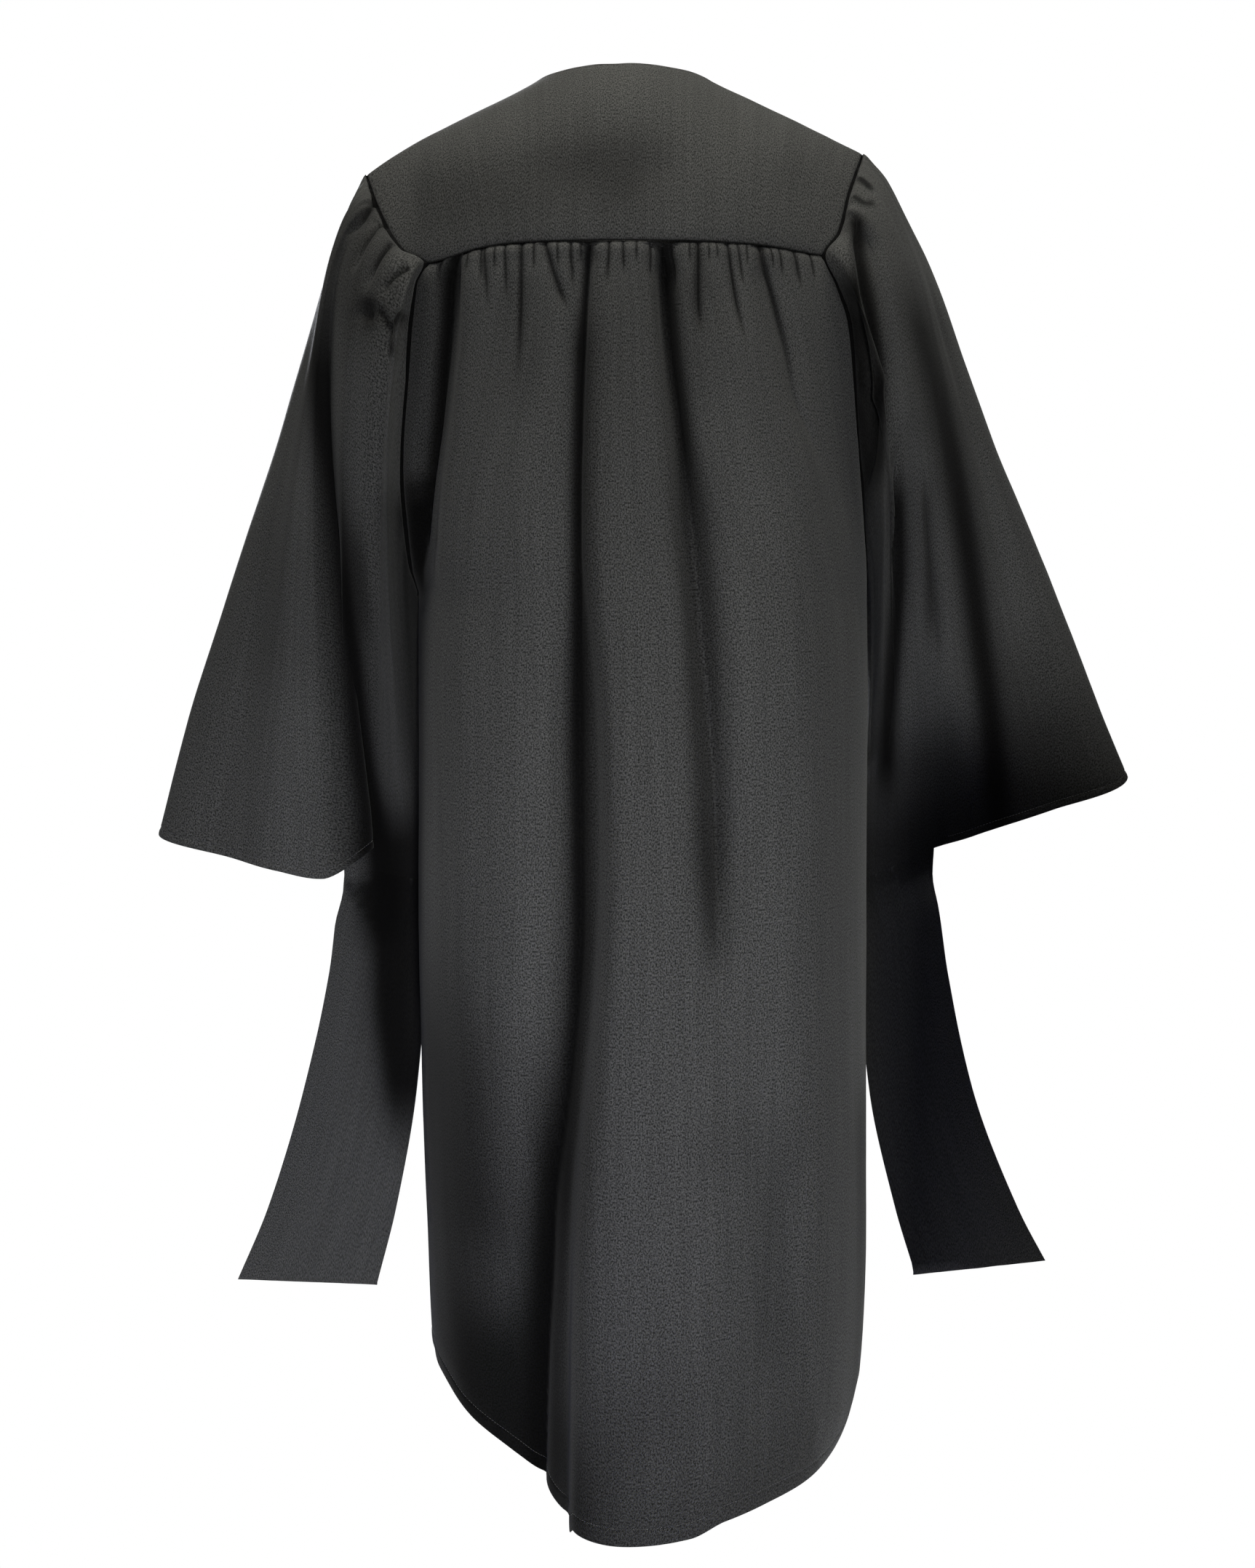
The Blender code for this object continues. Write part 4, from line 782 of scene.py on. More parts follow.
SLEEVE_CREASES = {
    ("left", "back"): crease_rows([
        ([(225, -202), (212, -224)], 2.2, 1.6, 3.2, 8, 2),
        ([(200, -205), (211, -224)], 2.2, 1.6, 3, 8, 2),
        ([(211, -222), (213, -252)], 2.4, 1.6, 3.4, 2, 16),
        ([(235, -196), (231, -220)], 7, 5, 8, 12, 14),
        ([(233, -90), (244, -113), (264, -134)], 3.4, 2.4, 5.6, 2, 20),
        ([(226, -118), (240, -142), (254, -171)], 3.6, 2.4, 6, 2, 22),
        ([(214, -140), (226, -160), (238, -190)], 3.2, 2.2, 5.6, 2, 20),
        ([(196, -168), (212, -178), (224, -196)], 2.8, 2, 4.6, 2, 14)]),
    ("right", "back"): crease_rows([
        ([(-206, -110), (-212, -185), (-224, -230), (-229, -275), (-228, -319), (-223, -379)], 3.6, 2.6,
         5, 10, 40),
        ([(-251, -310), (-254, -414), (-260, -488), (-261, -564), (-258, -644)], 4, 2.8, 5, 40, 60),
        ([(-276, -338), (-290, -438), (-301, -537)], 3.6, 2.6, 3.6, 40, 50)]),
    ("left", "front"): crease_rows([
        ([(236, -110), (246, -300), (262, -620)], 8, 6, 5, 40, 120),
        ([(262, -150), (286, -340), (308, -700)], 10, 7, 6, 60, 60),
        ([(296, -300), (322, -480), (345, -640)], 7, 6, 3.5, 80, 100)]),
    ("right", "front"): crease_rows([
        ([(-214, -90), (-224, -280), (-238, -560)], 6, 8, 5, 40, 120),
        ([(-242, -140), (-276, -360), (-318, -660)], 7, 10, 6, 60, 60),
        ([(-292, -320), (-326, -470), (-362, -640)], 6, 7, 3.5, 80, 100)])}

# The fronts aren't in the photograph, so their creases are few, long and soft.
FRONT_CREASES = {
    "left": crease_rows([
        ([(148, -240), (154, -500), (158, -850), (148, -1340)], 14, 10, 5, 300, 1),
        ([(92, -130), (90, -400), (92, -800), (83, -1340)], 12, 16, 4.5, 260, 1),
        ([(48, -110), (52, -300), (46, -560)], 7, 7, 3.5, 120, 240),
        ([(120, -540), (124, -860), (116, -1340)], 8, 7, 3, 320, 1)]),
    "right": crease_rows([
        ([(-150, -230), (-166, -520), (-178, -850), (-168, -1340)], 10, 14, 5, 300, 1),
        ([(-84, -140), (-90, -420), (-102, -800), (-108, -1340)], 16, 12, 4.5, 260, 1),
        ([(-46, -140), (-54, -340), (-60, -640)], 7, 7, 3.5, 120, 280),
        ([(-128, -620), (-138, -900), (-136, -1340)], 7, 8, 3, 320, 1)])}
# Painted shade: the share of the light taken from the colour in the creases of the fronts and the front
# sleeve layers.
FRONT_FOLD_SHADE = 0.62

# Painted shade: depth here is the share of the light taken out of the cloth's colour and
# gloss. Narrow rows paint shade in folds too deep for light to reach their bottoms. Broad
# rows paint shade over whole areas, some weak (0.1 to 0.35) and some strong (0.5 to 0.99).
YOKE_SHADES = shade_rows([
    ([(205, -100), (120, -98), (30, -84), (-60, -88)], 36, 36, 0.3, 20, 60),
    ([(40, -60), (-10, -120)], 18, 18, 0.16, 20, 20)])
# Painted shade on the back: beside its creases, broad rows darken its middle, its left edge, its low left
# and its hem.
BACK_SHADES = shade_rows([
    ([(10, -160), (6, -600), (-10, -1000), (-20, -1340)], 60, 60, 0.11, 1, 1),
    ([(8, -170), (8, -440)], 30, 30, 0.1, 30, 160),
    ([(94, -170), (94, -330)], 20, 20, 0.2, 20, 80),
    ([(-64, -170), (-68, -330)], 18, 18, 0.18, 20, 80),
    ([(166, -780), (154, -960), (136, -1120)], 46, 36, 0.62, 160, 100),
    ([(-70, -620), (-77, -760), (-79, -810)], 13, 13, 0.35, 80, 50),
    ([(30, -1120), (-40, -1240)], 60, 60, 0.16, 80, 60),
    ([(-80, -900), (-100, -1000)], 30, 30, 0.16, 60, 60),
    ([(180, -160), (186, -280), (192, -360)], 16, 16, 0.38, 20, 40),
    ([(155, -145), (157, -162), (161.5, -210), (167, -245), (174, -293), (183, -335), (193, -375),
     (203, -430)], 8, 6.5, 0.97, 1, 40),
    ([(192, -330), (197, -370), (199, -440), (200, -620), (202, -757), (206, -900), (206, -1100),
     (198, -1240)], 30, 10, 0.99, 40, 10),
    ([(205, -700), (202, -860), (194, -1000), (186, -1120), (178, -1280)], 60, 52, 0.88, 200, 1),
    ([(33.5, -145), (36, -180), (40, -240), (41, -270)], 3.6, 3.6, 0.95, 1, 30),
    ([(40, -190), (40, -235), (41.5, -300), (43, -406), (43.5, -579), (42.5, -677), (42.5, -740),
     (47, -835), (55, -915), (62.5, -975), (74, -1077), (82, -1160), (92, -1300)], 8.5, 11, 0.97, 60, 1),
    ([(54, -830), (64, -975), (77, -1077), (85, -1160), (94, -1300)], 24, 22, 0.95, 160, 1),
    ([(120, -1060), (135, -1180), (150, -1320)], 70, 55, 0.86, 120, 1),
    ([(90, -1160), (72, -1250), (60, -1340)], 30, 36, 0.78, 90, 1),
    ([(150, -1330), (0, -1350), (-180, -1330)], 130, 130, 0.34, 1, 1),
    ([(-32, -145), (-35, -180), (-42, -258), (-49, -315), (-56, -385), (-60, -440)], 6, 6.5, 0.97, 1,
     120),
    ([(-48, -300), (-56, -385), (-62, -480), (-66, -580), (-73, -700), (-80, -810)], 12, 18, 0.5, 100,
     120),
    ([(-62, -145), (-62, -195), (-66, -245)], 5, 5, 0.45, 1, 50),
    ([(-118, -145), (-120, -161), (-131, -202), (-143, -249), (-148, -283), (-166, -330)], 3.4, 3.4,
     0.8, 1, 140),
    ([(-160, -900), (-135, -1010), (-133, -1100), (-140, -1180)], 18, 18, 0.22, 90, 60),
    ([(-226, -900), (-230, -1100), (-224, -1220), (-200, -1300)], 14, 10, 0.7, 80, 1)])
# Painted shade on the sleeves: beside their creases, broad rows darken the left one's head and inner
# tail, and the right one's lower half and tail.
SLEEVE_SHADES = {
    ("left", "back"): shade_rows([
        ([(312, -340), (330, -480), (340, -580)], 36, 36, 0.18, 100, 80),
        ([(258, -370), (256, -450), (250, -530)], 10, 10, 0.5, 60, 60),
        ([(264, -735), (267, -790), (262, -850)], 16, 16, 0.5, 30, 50),
        ([(281, -150), (286.5, -235), (286, -286), (280, -350), (275.5, -400), (269, -516), (264, -619),
         (256, -697), (251, -757), (247, -840)], 14.5, 13, 0.98, 110, 70),
        ([(208, -345), (209, -380), (208, -440), (207, -560), (209, -757), (212, -950)], 14, 20, 0.98,
         40, 100),
        ([(250, -640), (252, -790), (253, -879), (246, -953), (234, -1040), (226, -1090)], 20, 60, 0.97,
         80, 120),
        ([(274, -752), (262, -790), (250, -830)], 8, 14, 0.75, 6, 30),
        ([(225, -202), (212, -224)], 2.8, 2.8, 0.85, 6, 2),
        ([(200, -205), (211, -224)], 2.8, 2.8, 0.85, 6, 2),
        ([(211, -222), (213, -252)], 2.8, 2.8, 0.88, 2, 12),
        ([(236, -186), (231, -228)], 8, 7, 0.7, 12, 14),
        ([(262, -80), (250, -150), (245, -270)], 40, 40, 0.5, 30, 80),
        ([(233, -90), (244, -113), (252, -122)], 2.6, 2.6, 0.9, 2, 16),
        ([(226, -118), (240, -142), (246, -155)], 2.6, 2.6, 0.85, 2, 16),
        ([(214, -140), (226, -160), (232, -175)], 2.6, 2.6, 0.85, 2, 16),
        ([(196, -168), (212, -178), (220, -190)], 2.6, 2.6, 0.85, 2, 12),
        ([(292, -752), (275, -784), (254, -812)], 4, 6, 0.6, 6, 10)]),
    ("right", "back"): shade_rows([
        ([(-372, -460), (-400, -560), (-420, -640)], 50, 50, 0.3, 80, 60),
        ([(-245, -640), (-256, -850), (-262, -1180)], 50, 120, 0.6, 80, 1),
        ([(-205, -150), (-210, -230), (-217, -310), (-222, -400), (-226, -480), (-230, -640),
         (-228, -860)], 16, 11, 0.98, 40, 100),
        ([(-207, -105), (-212, -165), (-220, -205), (-229, -260), (-230, -319), (-226, -379)], 7, 7.5,
         0.97, 20, 40),
        ([(-248, -320), (-255, -380), (-260, -450), (-259, -560), (-262, -700)], 9.5, 8.5, 0.95, 60, 80),
        ([(-276, -338), (-288, -438), (-296, -540)], 6, 5, 0.6, 50, 80),
        ([(-252, -150), (-270, -205), (-291, -275), (-318, -384), (-337, -480), (-356, -600),
         (-366, -700)], 15, 15, 0.93, 80, 20),
        ([(-275, -560), (-300, -640), (-330, -740)], 60, 50, 0.6, 80, 1),
        ([(-350, -570), (-390, -640), (-420, -720)], 90, 80, 0.65, 100, 1),
        ([(-213, -72), (-228, -92)], 3, 3, 0.85, 4, 8),
        ([(-207, -94), (-219, -104), (-230, -101)], 2.8, 2.8, 0.85, 2, 8),
        ([(-204, -118), (-212, -128)], 3.4, 3, 0.85, 2, 6)]),
    **{(side, "front"): shades_in(SLEEVE_CREASES[side, "front"], FRONT_FOLD_SHADE) for side in SIGN}}


def path_points(path, steps=6):
    """A smooth line through the places of a path, with a few points for each stretch."""
    places = np.array(path, float)
    run = np.concatenate([[0], np.cumsum(np.hypot(*np.diff(places, axis=0).T))])
    at = np.linspace(0, run[-1], steps * (len(places) - 1) + 1)
    return np.column_stack([smooth(run, places[:, 0], at), smooth(run, places[:, 1], at)])


def along_path(points, x, z):
    """Each place's signed distance from a line, how far along its nearest point is, and its length.

    The distance to a straight stretch is that to the foot of the perpendicular, held
    between its ends. It is positive on the wearer's left of a line that runs down.
    """
    distance = np.full(x.shape, 1e9)
    run = np.zeros(x.shape)
    start = 0.0
    for (x1, z1), (x2, z2) in zip(points[:-1], points[1:]):
        reach = math.hypot(x2 - x1, z2 - z1)
        step_x = (x2 - x1) / reach
        step_z = (z2 - z1) / reach
        foot = np.clip((x - x1) * step_x + (z - z1) * step_z, 0, reach)
        off_x = x - x1 - foot * step_x
        off_z = z - z1 - foot * step_z
        away = np.hypot(off_x, off_z)
        side = np.where(step_x * off_z - step_z * off_x >= 0, 1.0, -1.0)
        nearer = away < np.abs(distance)
        distance = np.where(nearer, side * away, distance)
        run = np.where(nearer, start + foot, run)
        start += reach
    return distance, run, start


def crease_parts(creases, x, z):
    """Each crease with the places near it, the distance there in widths and the share it holds."""
    for crease in creases:
        points = path_points(crease.path)
        reach = 6 * max(crease.left, crease.right)
        near = (x > points[:, 0].min() - reach) & (x < points[:, 0].max() + reach)
        near &= (z > points[:, 1].min() - reach) & (z < points[:, 1].max() + reach)
        if not near.any():
            continue
        distance, run, length = along_path(points, x[near], z[near])
        widths = np.abs(distance) / np.where(distance > 0, crease.left, crease.right)
        held = ramp(0, crease.start, run) * (1 - ramp(length - crease.end, length, run))
        yield crease, near, widths, held


def crease_shift(creases, x, z):
    """How far in the creases pull the cloth at each place: their depths, added up.

    Across a crease the share is exp(1/10 - sqrt(d * d + 1/100)), where d is the distance in
    widths: a narrow round bottom between two slopes that run out softly.
    """
    shift = np.zeros_like(x)
    for crease, near, widths, held in crease_parts(creases, x, z):
        shift[near] += crease.depth * held * np.exp(0.1 - np.sqrt(widths ** 2 + 0.01))
    return shift


def crease_shade(creases, x, z):
    """The painted shade of the folds at each place: how much of the light it takes, from 0 to 1.

    Real pleats lie over each other where this relief has only a trough. Each fold lets
    through 1 - depth * share, and these are multiplied. The share is 1 / (1 + d * d * d),
    where d is the distance in widths: half at one width from the line.
    """
    light = np.ones_like(x)
    for crease, near, widths, held in crease_parts(creases, x, z):
        light[near] *= 1 - crease.depth * held / (1 + widths ** 3)
    return 1 - light


def uneven(u, v, size_u, size_v, seed):
    """Soft random relief between -1 and 1 with hills of one size across and one down.

    A grid of seeded random heights, one to a cell, eased from each corner to the next.
    """
    rows, columns = GRID_CELLS
    heights = np.random.default_rng(seed).uniform(-1, 1, GRID_CELLS)
    cell_u = np.floor(u / size_u)
    cell_v = np.floor(v / size_v)
    ease_u = ramp(0, 1, u / size_u - cell_u)
    ease_v = ramp(0, 1, v / size_v - cell_v)
    row = cell_u.astype(int) % rows
    place = cell_v.astype(int) % columns
    next_row = (row + 1) % rows
    next_place = (place + 1) % columns
    upper = heights[row, place] * (1 - ease_u) + heights[next_row, place] * ease_u
    lower = heights[row, next_place] * (1 - ease_u) + heights[next_row, next_place] * ease_u
    return upper * (1 - ease_v) + lower * ease_v


def dapple(u, v, seed, strength=1.0):
    """The slight unevenness of hung cloth: hollows of each kind, added up."""
    return strength * sum(kind.height * uneven(u, v, kind.across, kind.down, seed + place)
                          for place, kind in enumerate(UNEVENNESS))


def seam_shade(*distances):
    """Painted shade along a seam's dip: nearly all the light taken at its stitches, none 4 mm away."""
    nearest = np.minimum.reduce(distances)
    return SEAM_SHADE * np.exp(-(nearest / SEAM_SHADE_WIDTH) ** 2)


def bump_line(distance, place, width):
    """A soft ridge of height one along a line at one distance from an edge."""
    return np.exp(-((distance - place) / width) ** 2)


def hem_relief(low, width):
    """A turned and stitched hem: a dimple on its stitch line and a slight swell below it."""
    swell = HEM_SWELL * np.sin(math.pi * np.clip(low / width, 0, 1))
    return HEM_DIMPLE * bump_line(low, width, HEM_DIMPLE_WIDTH) - swell


def seam_lip(distance):
    """The cloth dips where stitches hold it at a seam."""
    return LIP_DEPTH * np.exp(-distance / LIP_REACH)


def shares_for(length, start_rows, end_rows, steps, crowd=1.0):
    """Shares down or across a piece: close rows at both edges and even steps between them.

    With `crowd` over one the steps between crowd towards the start, as a power of the share.
    """
    low = np.array(start_rows) / length
    high = 1 - np.array(end_rows)[::-1] / length
    middle = low[-1] + (high[0] - low[-1]) * np.linspace(0, 1, steps + 1) ** crowd
    return np.concatenate([low[:-1], middle, high[1:]])


def run_lengths(points, axis):
    """The length run along each line of a grid of points, from its start to each point."""
    steps = np.linalg.norm(np.diff(points, axis=axis), axis=2)
    start = np.zeros_like(np.take(steps, [0], axis=axis))
    return np.concatenate([start, np.cumsum(steps, axis=axis)], axis=axis)


def outward(points, sign):
    """Unit normals of a grid of points: across times down, turned outwards by the sign."""
    normal = np.cross(np.gradient(points, axis=1), np.gradient(points, axis=0)) * sign
    return normal / np.maximum(np.linalg.norm(normal, axis=2, keepdims=True), 1e-12)


def eased(points, times=160, edge=0.030):
    """A grid of points with each row smoothed, and left as it is towards the grid's edges.

    Each round moves every point half of the way to the middle of its two neighbours in its
    row. The share that is moved grows from 0 at an edge to 1 well inside it.
    """
    away = np.minimum.reduce(list(edge_distances(points).values()))
    share = ramp(0, edge, away)[:, 1:-1, None]
    smoothed = points.copy()
    for _ in range(times):
        middle = (smoothed[:, :-2] + smoothed[:, 2:]) / 2
        smoothed[:, 1:-1] += 0.5 * share * (middle - smoothed[:, 1:-1])
    return smoothed


def edge_distances(points):
    """How far each point of a grid is from the four edges, along the cloth."""
    down = run_lengths(points, 0)
    over = run_lengths(points, 1)
    return {"top": down, "low": down[-1:] - down, "left": over, "right": over[:, -1:] - over}


def folded_in(distance, radius=FOLD_RADIUS):
    """How deep the outer half of a turned edge lies: a quarter circle down to its radius."""
    away = np.clip(distance / radius, 0, 1)
    return radius * (1 - np.sqrt(np.maximum(1 - (1 - away) ** 2, 0)))


def folded_under(distance, radius=FOLD_RADIUS):
    """How deep the turned-under part lies: the rest of the half circle, then its diameter."""
    away = np.clip(distance / radius, 0, 1)
    return radius * (1 + np.sqrt(np.maximum(1 - (1 - away) ** 2, 0)))


def quads(numbers, sign):
    """The four corners of every cell of a grid of point numbers, facing outwards."""
    corners = [numbers[:-1, :-1], numbers[:-1, 1:], numbers[1:, 1:], numbers[1:, :-1]]
    faces = np.stack(corners, axis=-1).reshape(-1, 4)
    return faces if sign > 0 else faces[:, ::-1]


def rings(numbers):
    """The cells of a tube, from the point numbers of its rings, one ring in each row."""
    return quads(np.concatenate([numbers, numbers[:, :1]], axis=1), 1)


def from_edge(edge, *grids):
    """Grids turned so that their first row lies along one edge of their piece."""
    if edge in ("low", "right"):
        grids = [grid[::-1, ::-1] for grid in grids]
    if edge in ("left", "right"):
        grids = [grid.swapaxes(0, 1) for grid in grids]
    return grids


class Shell:
    """A mesh that grows by grids of points, each with its places on the flat pattern."""

    def __init__(self, sign):
        self.sign = sign
        self.points = []
        self.pattern = []
        self.faces = []
        self.count = 0

    def add_points(self, grid, pattern):
        """Adds a grid of points and gives back the grid of their numbers."""
        numbers = np.arange(grid.shape[0] * grid.shape[1]).reshape(grid.shape[:2]) + self.count
        self.points.append(grid.reshape(-1, 3))
        self.pattern.append(pattern.reshape(-1, 3))
        self.count += numbers.size
        return numbers

    def add_faces(self, numbers):
        self.faces.append(quads(numbers, self.sign))

    def add_turn(self, numbers, plain, normal, pattern, away, edge, width):
        """Lays the cloth within a width of one edge back under itself, by folded_under."""
        numbers, plain, normal, pattern, away = from_edge(edge, numbers, plain, normal, pattern, away)
        upright = edge in ("left", "right")
        count = 1 + int(np.searchsorted(np.median(away, axis=1), width))
        deep = folded_under(away[1:count])[..., None]
        under = plain[1:count] - normal[1:count] * deep
        flat = pattern[1:count].copy()
        beyond = 1 if edge in ("low", "right") else -1
        flat[..., 0 if upright else 1] += 2 * away[1:count] * beyond
        added = self.add_points(under, flat)
        block = np.concatenate([added[::-1], numbers[:1]])
        self.faces.append(quads(block, -self.sign if upright else self.sign))

    def finish(self, name, finish, slot, wall=CLOTH_WALL, body="gown"):
        """The finished piece, with its wall laid inwards from the shell's outer face."""
        made = add_mesh(name, np.concatenate(self.points), np.concatenate(self.faces),
                        np.concatenate(self.pattern), finish, body)
        thicken = made.modifiers.new("wall", "SOLIDIFY")
        thicken.thickness = wall
        thicken.offset = -1
        return made


def add_mesh(name, points, faces, pattern, finish, body="gown"):
    """An object from points and faces, with a place on its flat pattern for each point."""
    mesh = bpy.data.meshes.new(name)
    mesh.from_pydata(points.tolist(), [], faces.tolist())
    if pattern is not None:
        corners = np.empty(len(mesh.loops), dtype=np.int32)
        mesh.loops.foreach_get("vertex_index", corners)
        layer = mesh.uv_layers.new(name="pattern")
        layer.data.foreach_set("uv", pattern[corners, :2].astype(np.float32).ravel())
        # The painted shade rides with each point as the attribute fold_shade.
        shade = mesh.attributes.new("fold_shade", "FLOAT", "POINT")
        shade.data.foreach_set("value", pattern[:, 2].astype(np.float32))
    mesh.shade_smooth()
    mesh.materials.append(finish)
    made = bpy.data.objects.new(name, mesh)
    bpy.context.scene.collection.objects.link(made)
    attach(made, body)
    return made


# The turned-under width at each edge of a piece; zero closes the edge without a turn.
Turns = namedtuple("Turns", "top low left right")


def flat_pattern(points, shares, shade=0.0):
    """A piece's flat pattern: threads run down by share, and lengths down are the cloth's.

    The third value is the painted shade there.
    """
    down = run_lengths(points, 0)
    width = np.median(run_lengths(points, 1)[:, -1])
    return np.stack([np.broadcast_to(shares * width, down.shape), down,
                     np.broadcast_to(shade, down.shape)], axis=-1)


def cloth_piece(name, form, shares, drops, sign, relief, turns, finish, sewn=(), shades=()):
    """A cloth piece on its form, drawn in by its relief and turned under at its edges."""
    across, fall = np.meshgrid(shares, drops)
    base = np.stack(form(across, fall), axis=-1)
    normal = outward(base, sign)
    away = edge_distances(base)
    # Painted shade from the piece's shade table, and along its sewn seams.
    shade = crease_shade(shades, base[..., 0], base[..., 2])
    seams = [away[edge] for edge in sewn]
    if seams:
        shade = np.maximum(shade, seam_shade(*seams))
    pattern = flat_pattern(base, shares, shade)
    plain = base - normal * relief(base, pattern, away)[..., None]
    deep = np.maximum.reduce([folded_in(away[edge]) for edge in Turns._fields])
    shell = Shell(sign)
    numbers = shell.add_points(plain - normal * deep[..., None], pattern)
    shell.add_faces(numbers)
    for edge in Turns._fields:
        if getattr(turns, edge):
            shell.add_turn(numbers, plain, normal, pattern, away[edge], edge, getattr(turns, edge))
    return shell.finish(name, finish, "gown_cloth"), plain, normal, away


def soft_yoke_form(share, drop):
    """The yoke's form, with the bends below the neck's two ends run out over its width."""
    points = eased(np.stack(yoke_form(share, drop), axis=-1))
    return points[..., 0], points[..., 1], points[..., 2]


def back_relief(base, pattern, away):
    """The back panel: gathers and creases, puffs below the yoke, its hem and its unevenness."""
    x, z = base[..., 0], base[..., 2]
    u, v = pattern[..., 0], pattern[..., 1]
    top, low = away["top"], away["low"]
    shift = crease_shift(GATHERS, x, z) * (1 - ramp(*GATHER_EASING, top) * GATHER_EASED)
    shift += crease_shift(BACK_CREASES, x, z) + fold_shift(BACK_FORMS, x, z) * ramp(0, 0.02, top)
    uneven_puff = 1 + 0.5 * uneven(x + 1, v, *PUFF_CELLS, SEEDS["puffs"])
    shift -= PUFF_HEIGHT * uneven_puff * ramp(0, PUFF_RISE, top) * np.exp(-top / PUFF_FALL)
    shift += seam_lip(top) + seam_lip(away["left"]) + seam_lip(away["right"])
    shift += hem_relief(low, HEM_TURN)
    return shift - dapple(u, v, SEEDS["back"]) * ramp(0, 0.02, top)


def yoke_relief(base, pattern, away):
    """The yoke: smooth, with shallow dents above the gathers and wide soft hollows."""
    x = base[..., 0]
    u, v = pattern[..., 0], pattern[..., 1]
    low = away["low"]
    across = np.zeros_like(x)
    for gather in GATHERS:
        across += gather.depth * bump_line(x, gather.path[0][0], DENT_WIDTH)
    shift = DENT_SHARE * across * np.exp(-low / DENT_REACH)
    for place, height, wide, tall in YOKE_HOLLOWS:
        shift += HOLLOW_DEPTH * np.exp(-((x - place) / wide) ** 2 - ((base[..., 2] - height) / tall) ** 2)
    shift += seam_lip(low) + 0.6 * seam_lip(away["left"]) + 0.6 * seam_lip(away["right"])
    on_neck = 1 - ramp(0.076, 0.096, np.abs(x - NECK_MIDDLE))
    shift += hem_relief(away["top"], NECK_TURN) * on_neck + 0.5 * seam_lip(away["top"]) * (1 - on_neck)
    return shift - dapple(u, v, SEEDS["yoke"], 0.8)


def front_relief(side):
    """A front panel's relief: long soft creases, its hem and stitched zip edge, and unevenness."""
    def relief(base, pattern, away):
        shift = crease_shift(FRONT_CREASES[side], base[..., 0], base[..., 2])
        shift += seam_lip(away["left"]) + 0.5 * seam_lip(away["top"])
        shift += hem_relief(away["low"], HEM_TURN)
        shift += ZIP_DIMPLE * bump_line(away["right"], ZIP_STITCH, ZIP_DIMPLE_WIDTH)
        return shift - dapple(pattern[..., 0], pattern[..., 1], SEEDS[f"front_{side}"])
    return relief


def sleeve_relief(side, face):
    """A sleeve layer's relief: its own creases, puckers at the head, lips and unevenness."""
    def relief(base, pattern, away, share):
        x, z = base[..., 0], base[..., 2]
        u, v = pattern[..., 0], pattern[..., 1]
        top = away["top"]
        shift = crease_shift(SLEEVE_CREASES[side, face], x, z)
        wave = uneven(share * HEAD_LENGTH, top, *PUCKER_CELLS, SEEDS["head"]) + PUCKER_LIFT
        reach = ramp(0, PUCKER_RISE, top) * np.exp(-top / PUCKER_FALL)
        shift -= PUCKER_HEIGHT * wave * reach * ramp(0, 0.06, share) * ramp(0, 0.05, 1 - share)
        tip = 1 - ramp(0.90, 0.99, share)
        shift += seam_lip(top) * tip + 0.5 * seam_lip(away["left"])
        return shift - dapple(u, v, SEEDS[f"sleeve_{side}"])
    return relief


def armhole_allowance(plain, normal, away, edges):
    """The seam allowance under the armhole seam: a strip from under the sleeve to the body.

    Its three rows lie at one depth: under the body's edge at the same height, under the
    sleeve's edge, and further under the sleeve.
    """
    body, body_normal = [np.concatenate(part) for part in zip(*edges)]
    order = np.argsort(body[:, 2])
    inner, inner_normal = line_near(plain, normal, away["top"], "top", ALLOWANCE)
    under_body = (body - body_normal * ALLOWANCE_DEPTH)[order]
    return np.stack([along_line(plain[0, :, 2], under_body[:, 2], under_body),
                     plain[0] - normal[0] * ALLOWANCE_DEPTH,
                     inner - inner_normal * ALLOWANCE_DEPTH])


